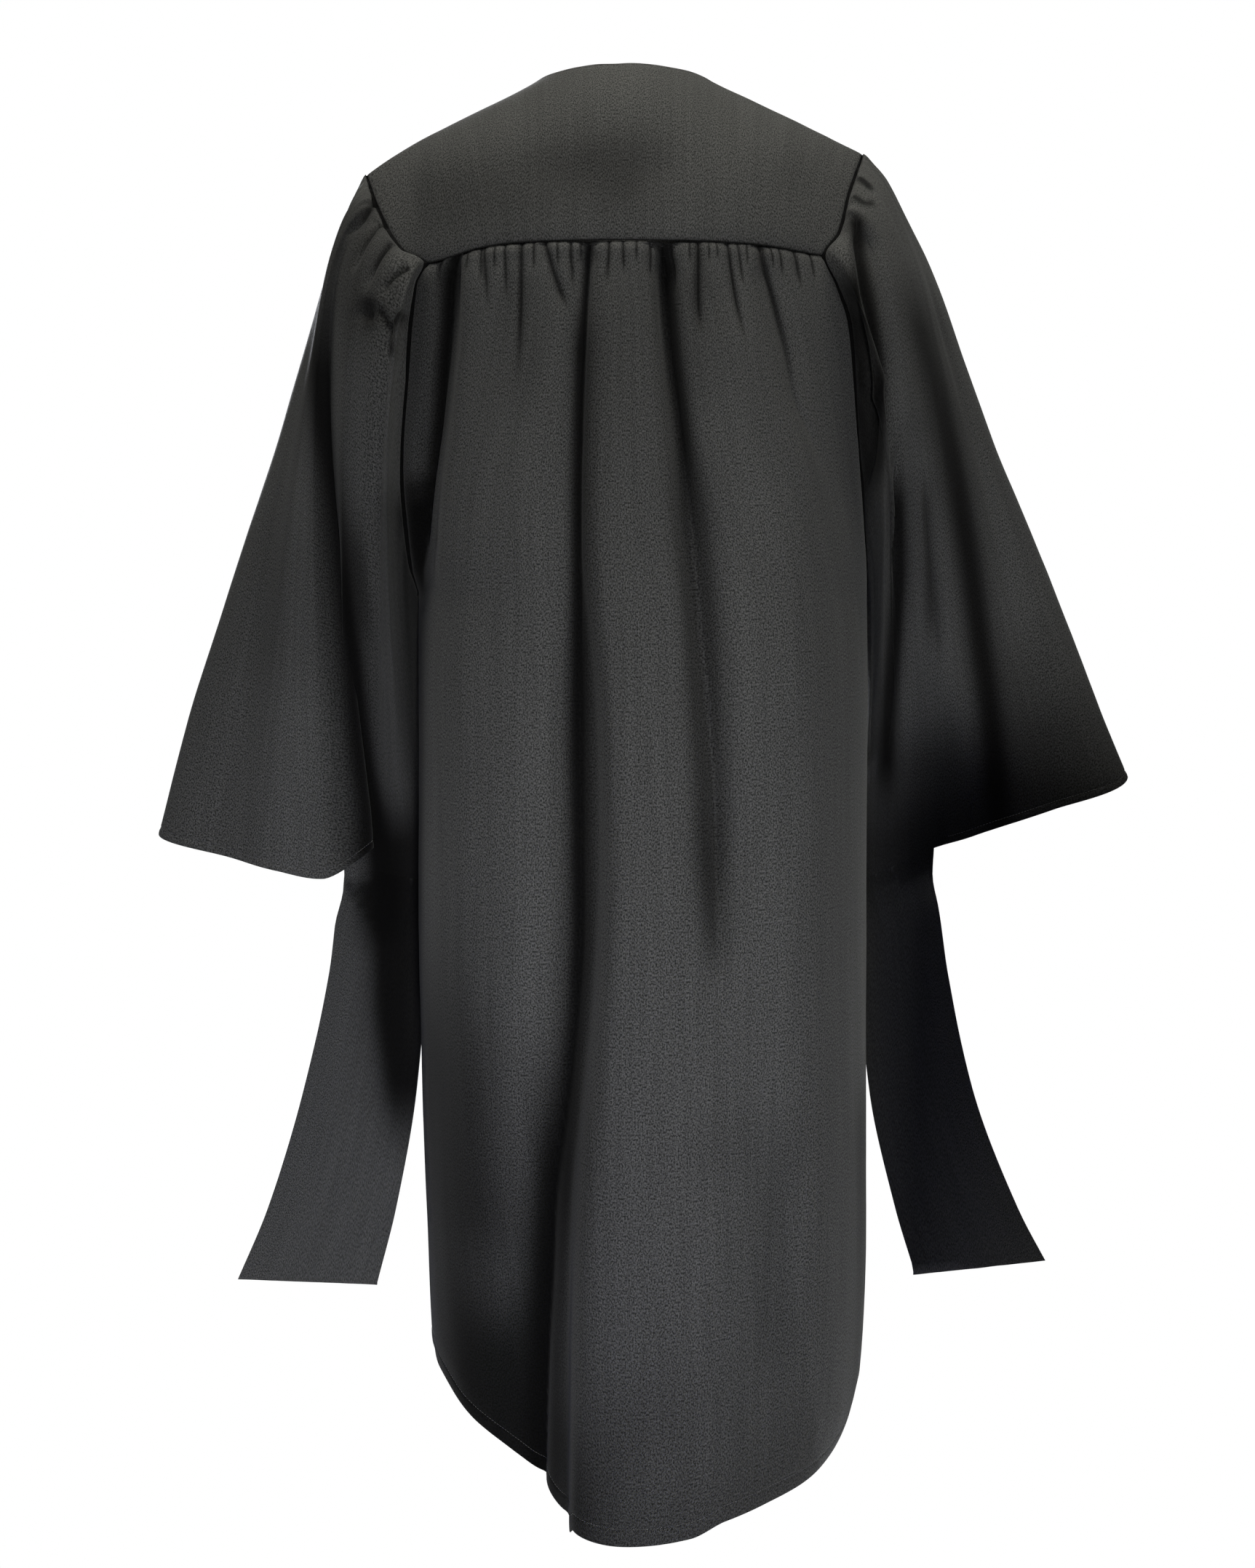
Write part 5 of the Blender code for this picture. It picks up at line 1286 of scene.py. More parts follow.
def sleeve_piece(side, face, edges, finish):
    """A sleeve layer with its tail: the full width to the wrist, then the slit's inner part."""
    sign = SIGN[side] * OUT[face]
    inner_columns, outer_columns = SLEEVE_COLUMNS[face]
    inner = shares_for(SLEEVE_WIDTHS[0], EDGE_ROWS, EDGE_ROWS, inner_columns) * SLIT_SHARE
    outer = shares_for(SLEEVE_WIDTHS[1], (0,), EDGE_ROWS, outer_columns)[1:]
    shares = np.concatenate([inner, SLIT_SHARE + (1 - SLIT_SHARE) * outer])
    slit = len(inner)
    rows, tail_rows = SLEEVE_ROWS[face]
    falls = shares_for(SLEEVE_LENGTHS[0], EDGE_ROWS, WRIST_ROWS, rows, SLEEVE_CROWD)
    lows = 1 + shares_for(SLEEVE_LENGTHS[1], (0,), EDGE_ROWS, tail_rows)

    def points(across, drops):
        return np.stack(sleeve_form(side, face, *np.meshgrid(across, drops)), axis=-1)

    upper, lower = points(shares, falls), points(shares[:slit], lows)
    upper_normal, lower_normal = outward(upper, sign), outward(lower, sign)
    shared = upper_normal[-1, :slit] + lower_normal[0]
    shared /= np.linalg.norm(shared, axis=-1, keepdims=True)
    upper_normal[-1, :slit] = lower_normal[0] = shared
    upper_away, lower_away = edge_distances(upper), edge_distances(lower)
    # Painted shade from the sleeve's shade table, and along its armhole seam.
    shades = SLEEVE_SHADES[side, face]
    pattern = flat_pattern(upper, shares, np.maximum(
        crease_shade(shades, upper[..., 0], upper[..., 2]), seam_shade(upper_away["top"])))
    low_pattern = np.stack([pattern[-1:, :slit, 0] + 0 * lower[..., 0],
                            pattern[-1:, :slit, 1] + lower_away["top"],
                            crease_shade(shades, lower[..., 0], lower[..., 2])], axis=-1)
    wrist = ramp(SLIT_SHARE, SLIT_SHARE + HEM_START, shares)
    upper_away["low"] = upper_away["low"] + 1 - wrist
    started = ramp(0, SLIT_START, lower_away["top"])
    lower_away["right"] = lower_away["right"] + 1 - started
    relief = sleeve_relief(side, face)
    shift = relief(upper, pattern, upper_away, shares[None, :])
    shift += hem_relief(upper_away["low"], WRIST_TURN)
    low_away = {"left": lower_away["left"],
                "top": lower_away["top"] + upper_away["top"][-1:, :slit]}
    low_shift = relief(lower, low_pattern, low_away, shares[None, :slit])
    plain = upper - upper_normal * shift[..., None]
    low_plain = lower - lower_normal * low_shift[..., None]
    deep = np.maximum.reduce([folded_in(upper_away["top"]), folded_in(upper_away["low"]),
                              folded_in(upper_away["left"], PAIR_RADIUS),
                              folded_in(upper_away["right"], PAIR_RADIUS)])
    low_deep = np.maximum.reduce([folded_in(lower_away[edge], PAIR_RADIUS)
                                  for edge in ("left", "right", "low")])
    shell = Shell(sign)
    numbers = shell.add_points(plain - upper_normal * deep[..., None], pattern)
    shell.add_faces(numbers)
    low_grid = low_plain - lower_normal * low_deep[..., None]
    low_numbers = shell.add_points(low_grid[1:], low_pattern[1:])
    shell.add_faces(np.concatenate([numbers[-1:, :slit], low_numbers]))
    shell.add_turn(numbers, plain, upper_normal, pattern, upper_away["top"], "top", TURN)
    over = (slice(None), slice(slit + 3, None))
    shell.add_turn(numbers[over], plain[over], upper_normal[over], pattern[over],
                   upper_away["low"][over], "low", WRIST_TURN)
    strip = armhole_allowance(plain, upper_normal, upper_away, edges)
    # The armhole's seam allowance is painted in full shade.
    shell.add_faces(shell.add_points(strip, flat_pattern(strip, shares, 1.0)))
    made = shell.finish(f"sleeve_{side}_{face}_cloth", finish, "gown_cloth")
    return made, plain, upper_normal, upper_away, slit


def linear(colour):
    """An sRGB hex colour as the linear values that a shader takes."""
    parts = np.array([int(colour[place:place + 2], 16) for place in (1, 3, 5)]) / 255
    parts = np.where(parts <= 0.04045, parts / 12.92, ((parts + 0.055) / 1.055) ** 2.4)
    return (*parts, 1.0)


def node(tree, kind, links=(), **settings):
    """Adds a node: settings name its properties or, with `in_` before them, its inputs.

    Each link is (another node's output, or a constant, and this node's input name or number).
    """
    made = tree.nodes.new(kind)
    for key, value in settings.items():
        if key.startswith("in_"):
            made.inputs[key[3:].replace("_", " ")].default_value = value
        else:
            setattr(made, key, value)
    for source, place in links:
        if isinstance(source, bpy.types.NodeSocket):
            tree.links.new(source, made.inputs[place])
        else:
            made.inputs[place].default_value = source
    return made


def new_material(name, colour, roughness, **inputs):
    """A material with its Principled shader's own values set, and its tree and shader."""
    made = bpy.data.materials.new(name)
    made.use_nodes = True
    shader = made.node_tree.nodes["Principled BSDF"]
    shader.inputs["Base Color"].default_value = linear(colour)
    shader.inputs["Roughness"].default_value = roughness
    for key, value in inputs.items():
        shader.inputs[key.replace("_", " ")].default_value = value
    return made, made.node_tree, shader


def woven_polyester():
    """Matt black polyester cloth, plain woven from textured yarn and piece dyed.

    To the eye it is a soft charcoal where light falls and nearly black in the folds, with a
    faint nap that lights the edges and a fine irregular grain. The real yarns are 0.3 mm
    apart, too fine for the picture, so they are drawn 0.9 mm apart, and the slubs 2 to 4 mm
    long. The pieces' fold_shade is painted shade: it takes light out of the colour and the
    gloss in folds, along seams and over broad areas.
    """
    made, tree, shader = new_material("woven_polyester", "#1c1c1c", 0.82, Sheen_Weight=0.03,
                                      Sheen_Roughness=0.5, IOR=1.5)
    pattern = node(tree, "ShaderNodeUVMap", uv_map="pattern").outputs["UV"]
    warp, weft = [node(tree, "ShaderNodeTexWave", [(pattern, "Vector")], wave_type="BANDS",
                       bands_direction=way, in_Scale=350.0, in_Distortion=1.5, in_Detail=1.0)
                  for way in ("X", "Y")]
    weave = node(tree, "ShaderNodeMath", [(warp.outputs["Fac"], 0), (weft.outputs["Fac"], 1)],
                 operation="MULTIPLY")
    stretched = [node(tree, "ShaderNodeMapping", [(pattern, "Vector")], in_Scale=scale)
                 for scale in ((900, 520, 1), (150, 7, 1))]
    slubs, streaks = [node(tree, "ShaderNodeTexNoise", [(way.outputs["Vector"], "Vector")],
                           in_Scale=1.0, in_Detail=3.0, in_Roughness=0.6) for way in stretched]
    grain = node(tree, "ShaderNodeMapRange", [(slubs.outputs["Fac"], "Value")],
                 in_From_Min=0.38, in_From_Max=0.62, in_To_Min=0.30, in_To_Max=1.70)
    bands = node(tree, "ShaderNodeMapRange", [(streaks.outputs["Fac"], "Value")],
                 in_From_Min=0.30, in_From_Max=0.70, in_To_Min=0.90, in_To_Max=1.10)
    # Painted shade: fold_shade darkens both the gloss and the colour below.
    shade = node(tree, "ShaderNodeAttribute", attribute_name="fold_shade")
    lit = node(tree, "ShaderNodeMapRange", [(shade.outputs["Fac"], "Value")], in_To_Min=1.0,
               in_To_Max=0.03)
    gloss = grain.outputs["Result"]
    for factor in (bands.outputs["Result"], lit.outputs["Result"], 0.5):
        gloss = node(tree, "ShaderNodeMath", [(gloss, 0), (factor, 1)],
                     operation="MULTIPLY").outputs[0]
    # The colour runs from near black, in painted shade and dark grain, to charcoal.
    colour = node(tree, "ShaderNodeMix", [(gloss, "Factor"), (linear("#030303"), 6),
                                          (linear("#2e2e2e"), 7)], data_type="RGBA")
    height = node(tree, "ShaderNodeMath", [(weave.outputs[0], 0), (slubs.outputs["Fac"], 1)],
                  operation="ADD")
    bump = node(tree, "ShaderNodeBump", [(height.outputs[0], "Height")], in_Strength=0.35,
                in_Distance=0.0003)
    tree.links.new(colour.outputs[2], shader.inputs["Base Color"])
    tree.links.new(gloss, shader.inputs["Specular IOR Level"])
    tree.links.new(bump.outputs["Normal"], shader.inputs["Normal"])
    return made


def zip_tape():
    """Black woven polyester tape: closer and harder than the cloth, with a herringbone rib.

    The ribs are 0.6 mm apart, as on a real tape, and are drawn at that size.
    """
    made, tree, shader = new_material("woven_zip_tape", "#1c1c1d", 0.6, Sheen_Weight=0.1,
                                      Specular_IOR_Level=0.35)
    place = node(tree, "ShaderNodeUVMap", uv_map="pattern")
    turned_way = node(tree, "ShaderNodeMapping", [(place.outputs["UV"], "Vector")],
                      in_Rotation=(0, 0, 0.6))
    rib = node(tree, "ShaderNodeTexWave", [(turned_way.outputs["Vector"], "Vector")],
               wave_type="BANDS", bands_direction="Y", in_Scale=520.0, in_Distortion=0.6)
    fleck = node(tree, "ShaderNodeTexNoise", [(place.outputs["UV"], "Vector")], in_Scale=900.0)
    colour = node(tree, "ShaderNodeMix", [(fleck.outputs["Fac"], "Factor"), (linear("#161617"), 6),
                                          (linear("#242425"), 7)], data_type="RGBA")
    bump = node(tree, "ShaderNodeBump", [(rib.outputs["Fac"], "Height")], in_Strength=0.6,
                in_Distance=0.0002)
    tree.links.new(colour.outputs[2], shader.inputs["Base Color"])
    tree.links.new(bump.outputs["Normal"], shader.inputs["Normal"])
    return made


def moulded_nylon():
    """Black nylon monofilament, moulded into a coil: smooth, with a soft waxy gloss.

    Faint flow marks 0.5 mm apart break the gloss up.
    """
    made, tree, shader = new_material("moulded_nylon", "#161617", 0.38, IOR=1.53)
    place = node(tree, "ShaderNodeTexCoord")
    flow = node(tree, "ShaderNodeTexNoise", [(place.outputs["Object"], "Vector")], in_Scale=2000.0,
                in_Detail=2.0)
    rough = node(tree, "ShaderNodeMapRange", [(flow.outputs["Fac"], "Value")], in_To_Min=0.28,
                 in_To_Max=0.5)
    tree.links.new(rough.outputs["Result"], shader.inputs["Roughness"])
    return made


def enamelled_zinc():
    """Die-cast zinc under black enamel: glossy, a little wavy, and worn to grey in specks.

    The enamel's waves are about 2 mm across and the worn specks under 0.5 mm.
    """
    made, tree, shader = new_material("enamelled_zinc", "#1a1a1b", 0.3, IOR=1.5, Coat_Weight=0.5,
                                      Coat_Roughness=0.15)
    place = node(tree, "ShaderNodeTexCoord")
    waves = node(tree, "ShaderNodeTexNoise", [(place.outputs["Object"], "Vector")], in_Scale=450.0)
    specks = node(tree, "ShaderNodeTexNoise", [(place.outputs["Object"], "Vector")], in_Scale=2600.0,
                  in_Detail=4.0)
    worn = node(tree, "ShaderNodeMapRange", [(specks.outputs["Fac"], "Value")], in_From_Min=0.66,
                in_From_Max=0.78)
    colour = node(tree, "ShaderNodeMix", [(worn.outputs["Result"], "Factor"), (linear("#1a1a1b"), 6),
                                          (linear("#6e6d6a"), 7)], data_type="RGBA")
    bump = node(tree, "ShaderNodeBump", [(waves.outputs["Fac"], "Height")], in_Strength=0.25,
                in_Distance=0.0002)
    tree.links.new(colour.outputs[2], shader.inputs["Base Color"])
    tree.links.new(bump.outputs["Normal"], shader.inputs["Normal"])
    return made


def spun_thread():
    """Black spun polyester sewing thread, two plies twisted: a touch lighter than the cloth.

    The twist is 0.4 mm a turn, drawn as slanting bands along each stitch.
    """
    made, tree, shader = new_material("spun_thread", "#303031", 0.55, Sheen_Weight=0.2)
    place = node(tree, "ShaderNodeTexCoord")
    slanted = node(tree, "ShaderNodeMapping", [(place.outputs["Object"], "Vector")],
                   in_Rotation=(0.6, 0.6, 0.4))
    plies = node(tree, "ShaderNodeTexWave", [(slanted.outputs["Vector"], "Vector")], in_Scale=780.0)
    bump = node(tree, "ShaderNodeBump", [(plies.outputs["Fac"], "Height")], in_Strength=0.5,
                in_Distance=0.0002)
    tree.links.new(bump.outputs["Normal"], shader.inputs["Normal"])
    return made


def line_near(plain, normal, away, edge, distance, part=slice(None)):
    """The line on a piece at one distance from its edge, with the outward direction there."""
    plain, normal, away = from_edge(edge, plain, normal, away)
    places = np.arange(away.shape[1])
    row = np.argmax(away > distance, axis=0)
    before, after = away[row - 1, places], away[row, places]
    share = ((distance - before) / (after - before))[:, None]
    points = plain[row - 1, places] * (1 - share) + plain[row, places] * share
    return points[part], normal[row, places][part]


def along_line(at, run, values):
    """Points or directions at the lengths `at` of a line whose own places lie at `run`."""
    return np.column_stack([np.interp(at, run, values[:, axis]) for axis in range(3)])


def stitch_row(name, points, normal, finish):
    """A row of sewing stitches along a line, lying on the cloth.

    Every stitch is the same short capsule: rings of six points whose radius and place along
    it follow a half circle, sunk into the cloth at both ends.
    """
    run = np.concatenate([[0], np.cumsum(np.linalg.norm(np.diff(points, axis=0), axis=1))])
    at = np.arange(STITCH_PITCH, run[-1] - STITCH_PITCH, STITCH_PITCH)
    middle = along_line(at, run, points)
    up = along_line(at, run, normal)
    along = along_line(at + STITCH_PITCH / 2, run, points) - middle
    along /= np.linalg.norm(along, axis=1, keepdims=True)
    up -= along * np.sum(up * along, axis=1, keepdims=True)
    up /= np.linalg.norm(up, axis=1, keepdims=True)
    side = np.cross(along, up)
    turn = np.linspace(0, math.pi, STITCH_RINGS)[:, None]
    angle = np.arange(STITCH_SIDES)[None, :] * 2 * math.pi / STITCH_SIDES
    far = np.broadcast_to(-STITCH_LENGTH / 2 * np.cos(turn), (STITCH_RINGS, STITCH_SIDES))
    radius = STITCH_RADIUS * np.maximum(np.sin(turn), 0.05) ** 0.6
    high = radius * np.sin(angle) + STITCH_RADIUS * (1.1 * np.sin(turn) - 0.5)
    wide = radius * np.cos(angle)
    shape = middle[:, None, None] + sum(
        way[:, None, None] * size[None, ..., None]
        for way, size in ((along, far), (up, high), (side, wide)))
    count = STITCH_RINGS * STITCH_SIDES
    one = rings(np.arange(count).reshape(STITCH_RINGS, STITCH_SIDES))
    faces = (one[None] + count * np.arange(len(at))[:, None, None]).reshape(-1, 4)
    return add_mesh(name, shape.reshape(-1, 3), faces, None, finish)


def squared(value, power):
    """A sine or cosine bent so that its circle turns into a square with rounded corners."""
    return np.sign(value) * np.abs(value) ** power


def slab(size, middle, power=5.0, rows=12, columns=20):
    """A closed slab with rounded edges: a superellipsoid of one power about its middle."""
    def bent(value):
        return squared(value, 2 / power)
    around, rise = np.meshgrid(np.linspace(0, 2 * math.pi, columns + 1)[:-1],
                               np.linspace(-math.pi / 2, math.pi / 2, rows))
    flat = bent(np.cos(rise))
    ball = np.stack([flat * bent(np.cos(around)), flat * bent(np.sin(around)), bent(np.sin(rise))],
                    axis=-1)
    points = ball * np.array(size) / 2 + np.array(middle)
    return points.reshape(-1, 3), rings(np.arange(rows * columns).reshape(rows, columns))


def bar(path, wide, thick, closed=False):
    """A bar of rounded section along a path in the local y-z plane or, closed, round an eye."""
    path = np.array(path, float)
    ahead = np.roll(path, -1, axis=0) - np.roll(path, 1, axis=0)
    if not closed:
        ahead[0], ahead[-1] = path[1] - path[0], path[-1] - path[-2]
    ahead /= np.linalg.norm(ahead, axis=1, keepdims=True)
    flat_axis = np.array([0.0, 1.0, 0.0]) if closed else np.array([1.0, 0.0, 0.0])
    cross = np.cross(ahead, flat_axis)
    angle = np.linspace(0, 2 * math.pi, BAR_SIDES + 1)[:-1]
    one = squared(np.cos(angle), 0.5)
    two = squared(np.sin(angle), 0.5)
    points = (path[:, None] + cross[:, None] * (wide / 2 * one)[None, :, None]
              + flat_axis * (thick / 2 * two)[None, :, None])
    numbers = np.arange(len(path) * BAR_SIDES).reshape(-1, BAR_SIDES)
    if closed:
        numbers = np.concatenate([numbers, numbers[:1]])
    return points.reshape(-1, 3), rings(numbers)


def joined(parts):
    """Several closed surfaces as one set of points and faces."""
    points, faces, start = [], [], 0
    for part_points, part_faces in parts:
        points.append(part_points)
        faces.append(part_faces + start)
        start += len(part_points)
    return np.concatenate(points), np.concatenate(faces)


def slider_place():
    """The slider's local frame: its origin on the slider's face and its three directions."""
    middle = SLIDER_TOP - SLIDER_HEIGHT / 2
    x, y = front_centre(middle)
    lean = math.atan2(float(y - front_centre(middle - LEAN_REACH)[1]), LEAN_REACH)
    face = y + ZIP_BEHIND - TAPE_WALL / 2 - SEAM - SLIDER_DEPTH
    turn = np.array([[1, 0, 0], [0, math.cos(lean), math.sin(lean)],
                     [0, -math.sin(lean), math.cos(lean)]])
    return np.array([float(x), float(face), middle]), turn


def placed(part, origin, turn):
    """A part's points carried from the slider's local frame to the gown's."""
    points, faces = part
    return points @ turn.T + origin, faces


def zip_slider(finish):
    """The slider: two shield plates, two side walls and a low bridge for the tab."""
    depth, high, wide = SLIDER_DEPTH, SLIDER_HEIGHT, SLIDER_WIDTH
    arch = [(0, -BRIDGE_STAND * 0.96 * math.sin(a) ** 0.6 + 0.0003, BRIDGE_HEIGHT / 2 * math.cos(a))
            for a in np.linspace(0.02, math.pi - 0.02, 15)]
    inside = depth * 0.94
    parts = [slab((wide, SHIELD_WALL, high), (0, y, 0), 4.0)
             for y in (SHIELD_WALL / 2, depth - SHIELD_WALL / 2)]
    parts += [slab((SHIELD_WALL, inside, high * 0.62),
                   (sign * (wide / 2 - 0.00056), depth / 2, -high * 0.14), 4.5) for sign in (1, -1)]
    parts += [slab((POST_WIDTH, inside, POST_HEIGHT), (0, depth / 2, high / 2 - 0.0019), 3.0),
              bar(arch, BRIDGE_BAR, BRIDGE_WIDTH)]
    points, faces = placed(joined(parts), *slider_place())
    made = add_mesh("slider_body", points, faces, None, finish)
    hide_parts("zip_slider")
    return made


def zip_tab(finish):
    """The pull tab: a rounded eye round the bridge and a plate with a soft waist and a rim."""
    origin, turn = slider_place()
    origin = origin + turn @ np.array([0, -BRIDGE_STAND / 2, 0])
    rail = BRIDGE_WIDTH / 2 + EYE_GAP + EYE_BAR / 2
    angle = np.linspace(0, 2 * math.pi, 41)[:-1]
    cosine, sine = np.cos(angle), np.sin(angle)
    flat = np.zeros_like(angle)
    eye = np.column_stack([rail * squared(cosine, EYE_ROUNDNESS), flat,
                           TAB_EYE / 2 * (squared(sine, EYE_ROUNDNESS) - 1)])
    length = TAB_LENGTH - TAB_EYE
    plate_points, plate_faces = slab((TAB_WIDTH, TAB_WALL, length + 0.0008),
                                     (0, 0, -TAB_EYE - length / 2 + 0.0004), 5.0, 24, 28)
    down = (plate_points[:, 2] + TAB_EYE) / -length
    plate_points[:, 0] *= 1 - WAIST_SHARE * bump_line(down, WAIST_PLACE, WAIST_REACH)
    rim = np.column_stack([TAB_WIDTH * RIM_HALF_WIDTH * squared(cosine, 0.5),
                           flat - TAB_WALL * RIM_DEPTH,
                           length * (RIM_HALF_LENGTH * squared(sine, 0.5) - RIM_MIDDLE) - TAB_EYE])
    points, faces = placed(joined([bar(eye, EYE_BAR * 0.9, TAB_WALL, True),
                                   (plate_points, plate_faces),
                                   bar(rim, RIM_WIDTH, RIM_STAND, True)]), origin, turn)
    made = add_mesh("slider_pull_tab", points, faces, None, finish, "pull_tab")
    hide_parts("zip_pull_tab")
    return made


def zip_coil(finish):
    """The closed coil: short rounded teeth from each tape in turn, meshed at the middle.

    Each tooth is a ring of eight points carried along five places across the zip: thick at
    its head past the middle and thinner towards its tape.
    """
    top = SLIDER_TOP - SLIDER_HEIGHT - 4 * SEAM
    heights = np.arange(top, ZIP_FOOT, -COIL_PITCH / 2)
    x, y = front_centre(heights)
    side = np.where(np.arange(len(heights)) % 2 == 0, 1.0, -1.0)
    across = np.array([-0.00062, -0.00035, 0.0002, 0.0012, 0.0019])
    swell = np.array([0.25, 0.95, 0.8, 0.75, 0.7])
    angle = np.arange(8) * math.pi / 4
    count = len(heights)
    points = np.empty((count, 5, 8, 3))
    points[..., 0] = x[:, None, None] + side[:, None, None] * across[None, :, None]
    points[..., 1] = (y[:, None, None] + ZIP_BEHIND - SEAM
                      + COIL_DEPTH * swell[:, None] * np.cos(angle))
    points[..., 2] = heights[:, None, None] + COIL_WIRE * swell[:, None] * np.sin(angle)
    faces = rings(np.arange(40).reshape(5, 8))[None] + 40 * np.arange(count)[:, None, None]
    faces[side < 0] = faces[side < 0][..., ::-1]
    made = add_mesh("zip_coil", points.reshape(-1, 3), faces.reshape(-1, 4), None, finish)
    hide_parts("zip_chain")
    return made


def zip_tape_piece(side, finish):
    """One tape of the zip behind the panel's edge: a flat strip with a beaded inner edge."""
    sign = SIGN[side]
    shares = shares_for(TAPE_WIDTH, (0, 0.0002, 0.0006, 0.0010), (0, 0.0003), 6)
    across, fall = np.meshgrid(shares, np.linspace(0, 1, 150))
    z = ZIP_TOP + (ZIP_FOOT - ZIP_TOP) * fall
    x, y = front_centre(z)
    base = np.stack([x + sign * (TAPE_INNER + TAPE_WIDTH * across), y + ZIP_BEHIND + 0.0002, z],
                    axis=-1)
    normal = outward(base, -sign)
    bead = 0.0003 * np.exp(-((shares * TAPE_WIDTH - 0.0005) / 0.0004) ** 2)
    shell = Shell(-sign)
    pattern = flat_pattern(base, shares)
    shell.add_faces(shell.add_points(base + normal * bead[None, :, None], pattern))
    made = shell.finish(f"zip_{side}_tape", finish, "zip_tape")
    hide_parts(f"zip_tape_{side}")
    return made


def make_cloth():
    """All cloth pieces with their stitches."""
    cloth = woven_polyester()
    thread = spun_thread()
    tape_finish = zip_tape()

    size = YOKE_MESH
    neck_shares = shares_for(size.width, EDGE_ROWS, EDGE_ROWS, size.columns)
    yoke, plain, normal, away = cloth_piece(
        "back_yoke_cloth", soft_yoke_form, neck_shares,
        shares_for(size.length, NECK_ROWS, EDGE_ROWS, size.rows), -1, yoke_relief,
        Turns(NECK_TURN, TURN, TURN, TURN), cloth, ("low", "left", "right"), YOKE_SHADES)
    edges = {(side, "back"): [line_near(plain, normal, away[side], side, ALLOWANCE)]
             for side in SIGN}
    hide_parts("back_yoke")
    on_neck = np.nonzero((neck_shares > YOKE_NECK_SHARE) & (neck_shares < 1 - YOKE_NECK_SHARE))[0]
    neck_row = stitch_row("neck_stitches", *line_near(plain, normal, away["top"], "top", NECK_TURN,
                                                      slice(on_neck[0], on_neck[-1])), thread)

    size = BACK_MESH
    back, plain, normal, away = cloth_piece(
        "back_panel_cloth", back_form, shares_for(size.width, EDGE_ROWS, EDGE_ROWS, size.columns),
        shares_for(size.length, BACK_ROWS, HEM_ROWS, size.rows), -1, back_relief,
        Turns(TURN, HEM_TURN, TURN, TURN), cloth, ("top", "left", "right"),
        # Painted shade of the back's table and of its gathers.
        BACK_SHADES + shades_in(GATHERS, GATHER_SHADE, 0.6))
    for side in SIGN:
        edges[side, "back"].append(line_near(plain, normal, away[side], side, ALLOWANCE))
    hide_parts("back_panel")
    row = stitch_row("back_hem_stitches",
                     *line_near(plain, normal, away["low"], "low", HEM_TURN), thread)

    size = FRONT_MESH
    for side, sign in SIGN.items():
        panel, plain, normal, away = cloth_piece(
            f"front_{side}_cloth", partial(front_form, side),
            shares_for(size.width, EDGE_ROWS, EDGE_ROWS, size.columns),
            shares_for(size.length, FRONT_ROWS, HEM_ROWS, size.rows), sign, front_relief(side),
            Turns(NECK_TURN, HEM_TURN, TURN, ZIP_TURN), cloth, ("left",),
            shades_in(FRONT_CREASES[side], FRONT_FOLD_SHADE))
        edges[side, "front"] = [line_near(plain, normal, away["left"], "left", ALLOWANCE)]
        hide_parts(f"front_panel_{side}")
        rows = [stitch_row(f"front_{side}_hem_stitches",
                           *line_near(plain, normal, away["low"], "low", HEM_TURN), thread),
                stitch_row(f"front_{side}_zip_stitches",
                           *line_near(plain, normal, away["right"], "right", ZIP_STITCH), thread)]
        tape = zip_tape_piece(side, tape_finish)
        for face in OUT:
            sleeve, plain, normal, away, slit = sleeve_piece(side, face, edges[side, face], cloth)
            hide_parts(f"sleeve_{side}_{face}")
            row = stitch_row(f"sleeve_{side}_{face}_stitches",
                             *line_near(plain, normal, away["low"], "low", WRIST_TURN,
                                        slice(0, plain.shape[1] - slit - 6)), thread)


def white_to_camera(tree, output, other):
    """Shows plain white to the camera, while other rays meet another shader."""
    kind = "ShaderNodeBackground" if other.type == "BACKGROUND" else "ShaderNodeEmission"
    seen = node(tree, kind, in_Color=(1, 1, 1, 1), in_Strength=1.0)
    rays = node(tree, "ShaderNodeLightPath")
    mixed = node(tree, "ShaderNodeMixShader", [(rays.outputs["Is Camera Ray"], 0),
                                               (other.outputs[0], 1), (seen.outputs[0], 2)])
    tree.links.new(mixed.outputs[0], output.inputs["Surface"])


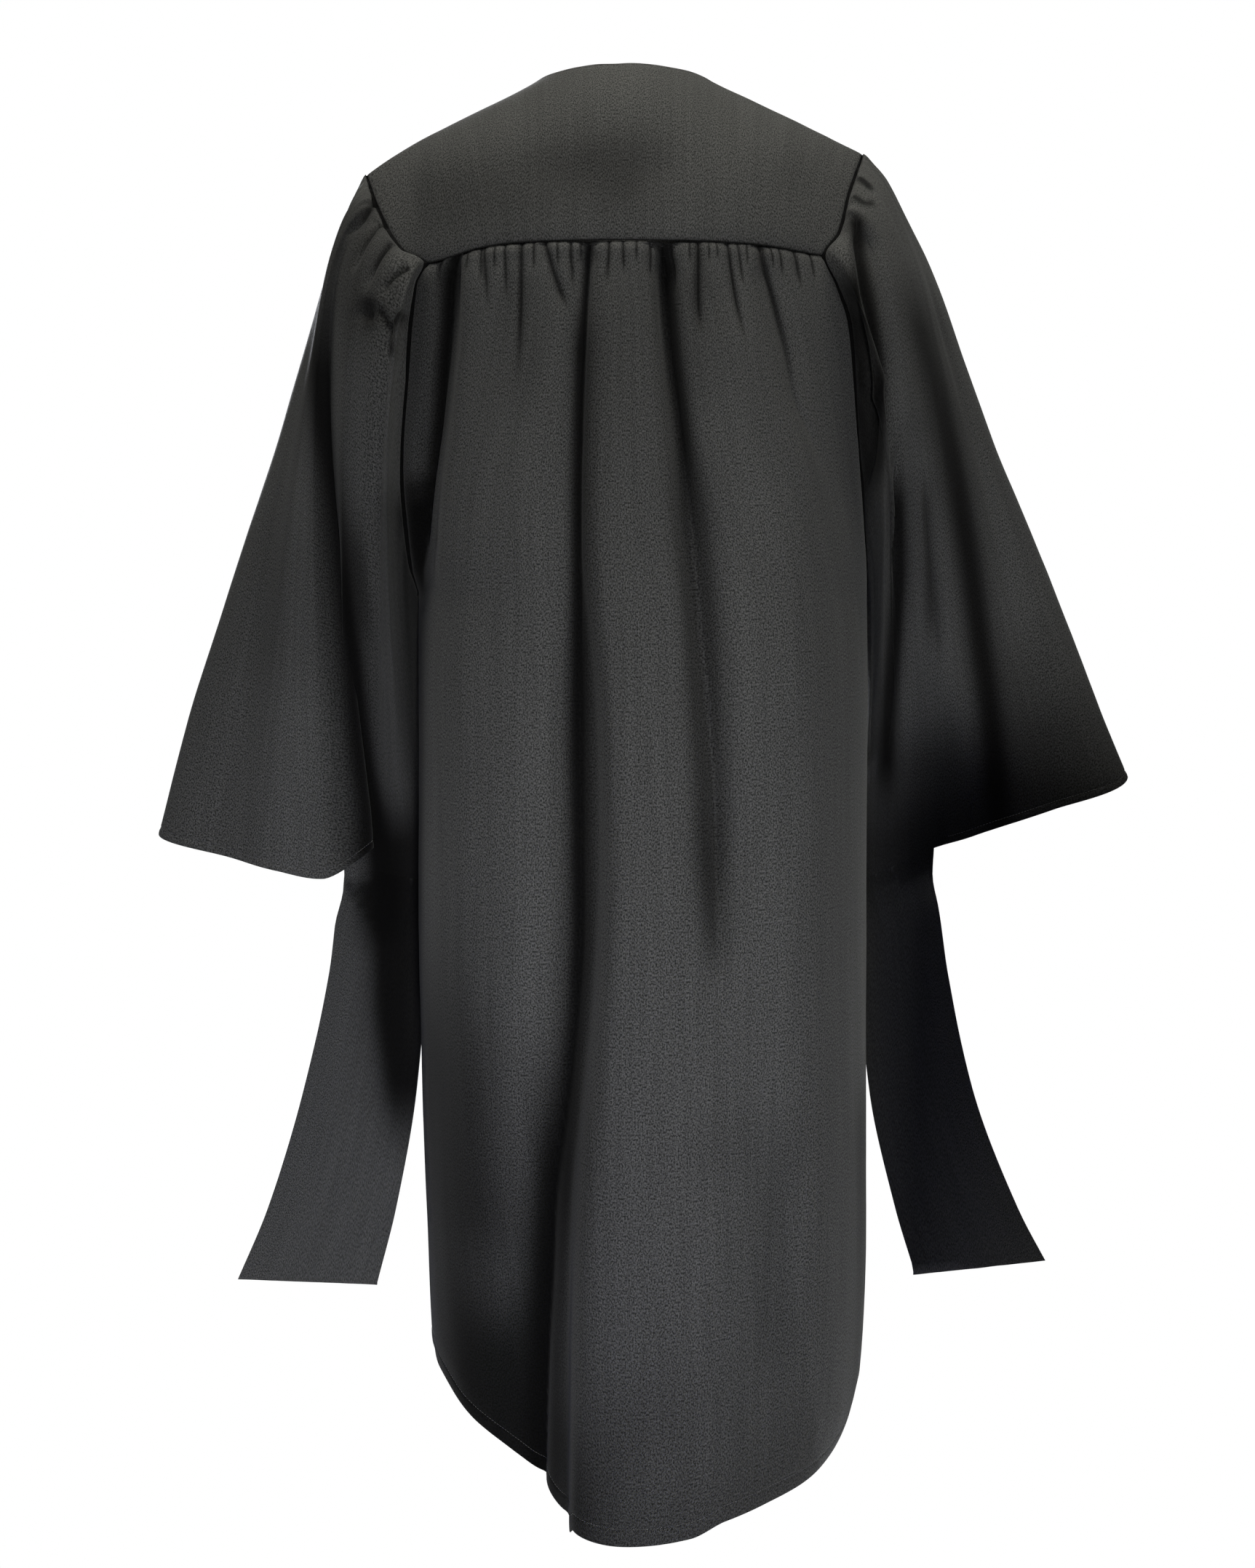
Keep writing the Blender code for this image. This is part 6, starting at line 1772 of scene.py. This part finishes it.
def stage_face(name, corners, finish):
    """A flat face of the studio, which isn't a piece of the gown."""
    mesh = bpy.data.meshes.new(name)
    mesh.from_pydata(corners, [], [tuple(range(len(corners)))])
    mesh.materials.append(finish)
    made = bpy.data.objects.new(name, mesh)
    bpy.context.scene.collection.objects.link(made)
    return made


def make_stage():
    """The white floor and surroundings, the studio lights and the camera."""
    scene = bpy.context.scene
    scene.view_settings.view_transform = "Standard"
    world = bpy.data.worlds.new("studio")
    scene.world = world
    world.use_nodes = True
    tree = world.node_tree
    ambient = tree.nodes["Background"]
    ambient.inputs["Color"].default_value = linear("#dfe4ea")
    ambient.inputs["Strength"].default_value = AMBIENT
    white_to_camera(tree, tree.nodes["World Output"], ambient)

    paper, tree, shader = new_material("white_paper_sweep", "#e6e6e4", 0.9)
    white_to_camera(tree, tree.nodes["Material Output"], shader)
    stage_face("studio_floor", [(x * FLOOR_REACH, y * FLOOR_REACH, FLOOR)
                                for x, y in ((-1, -1), (1, -1), (1, 1), (-1, 1))], paper)
    card = stage_face("light_flag", [(x, CARD_DISTANCE, z) for x, z in CARD],
                      new_material("black_card", "#050505", 0.9)[0])
    card.visible_camera = False

    for light in LIGHTS:
        lamp = bpy.data.lights.new(light.name, "AREA")
        lamp.shape = "RECTANGLE"
        lamp.size = light.width
        lamp.size_y = light.height
        lamp.spread = math.radians(light.spread)
        lamp.energy = light.power
        lamp.color = linear(light.colour)[:3]
        made = bpy.data.objects.new(light.name, lamp)
        made.location = light.place
        way = Vector(light.aim) - Vector(light.place)
        made.rotation_euler = way.to_track_quat("-Z", "Y").to_euler()
        scene.collection.objects.link(made)

    lens = bpy.data.cameras.new("camera")
    lens.lens = CAMERA_LENS
    lens.clip_end = 50
    view = bpy.data.objects.new("camera", lens)
    view.location = CAMERA_PLACE
    view.rotation_euler = [math.radians(angle) for angle in CAMERA_TURN]
    scene.collection.objects.link(view)
    scene.camera = view


make_cloth()
metal = enamelled_zinc()
zip_slider(metal)
zip_tab(metal)
zip_coil(moulded_nylon())
make_stage()
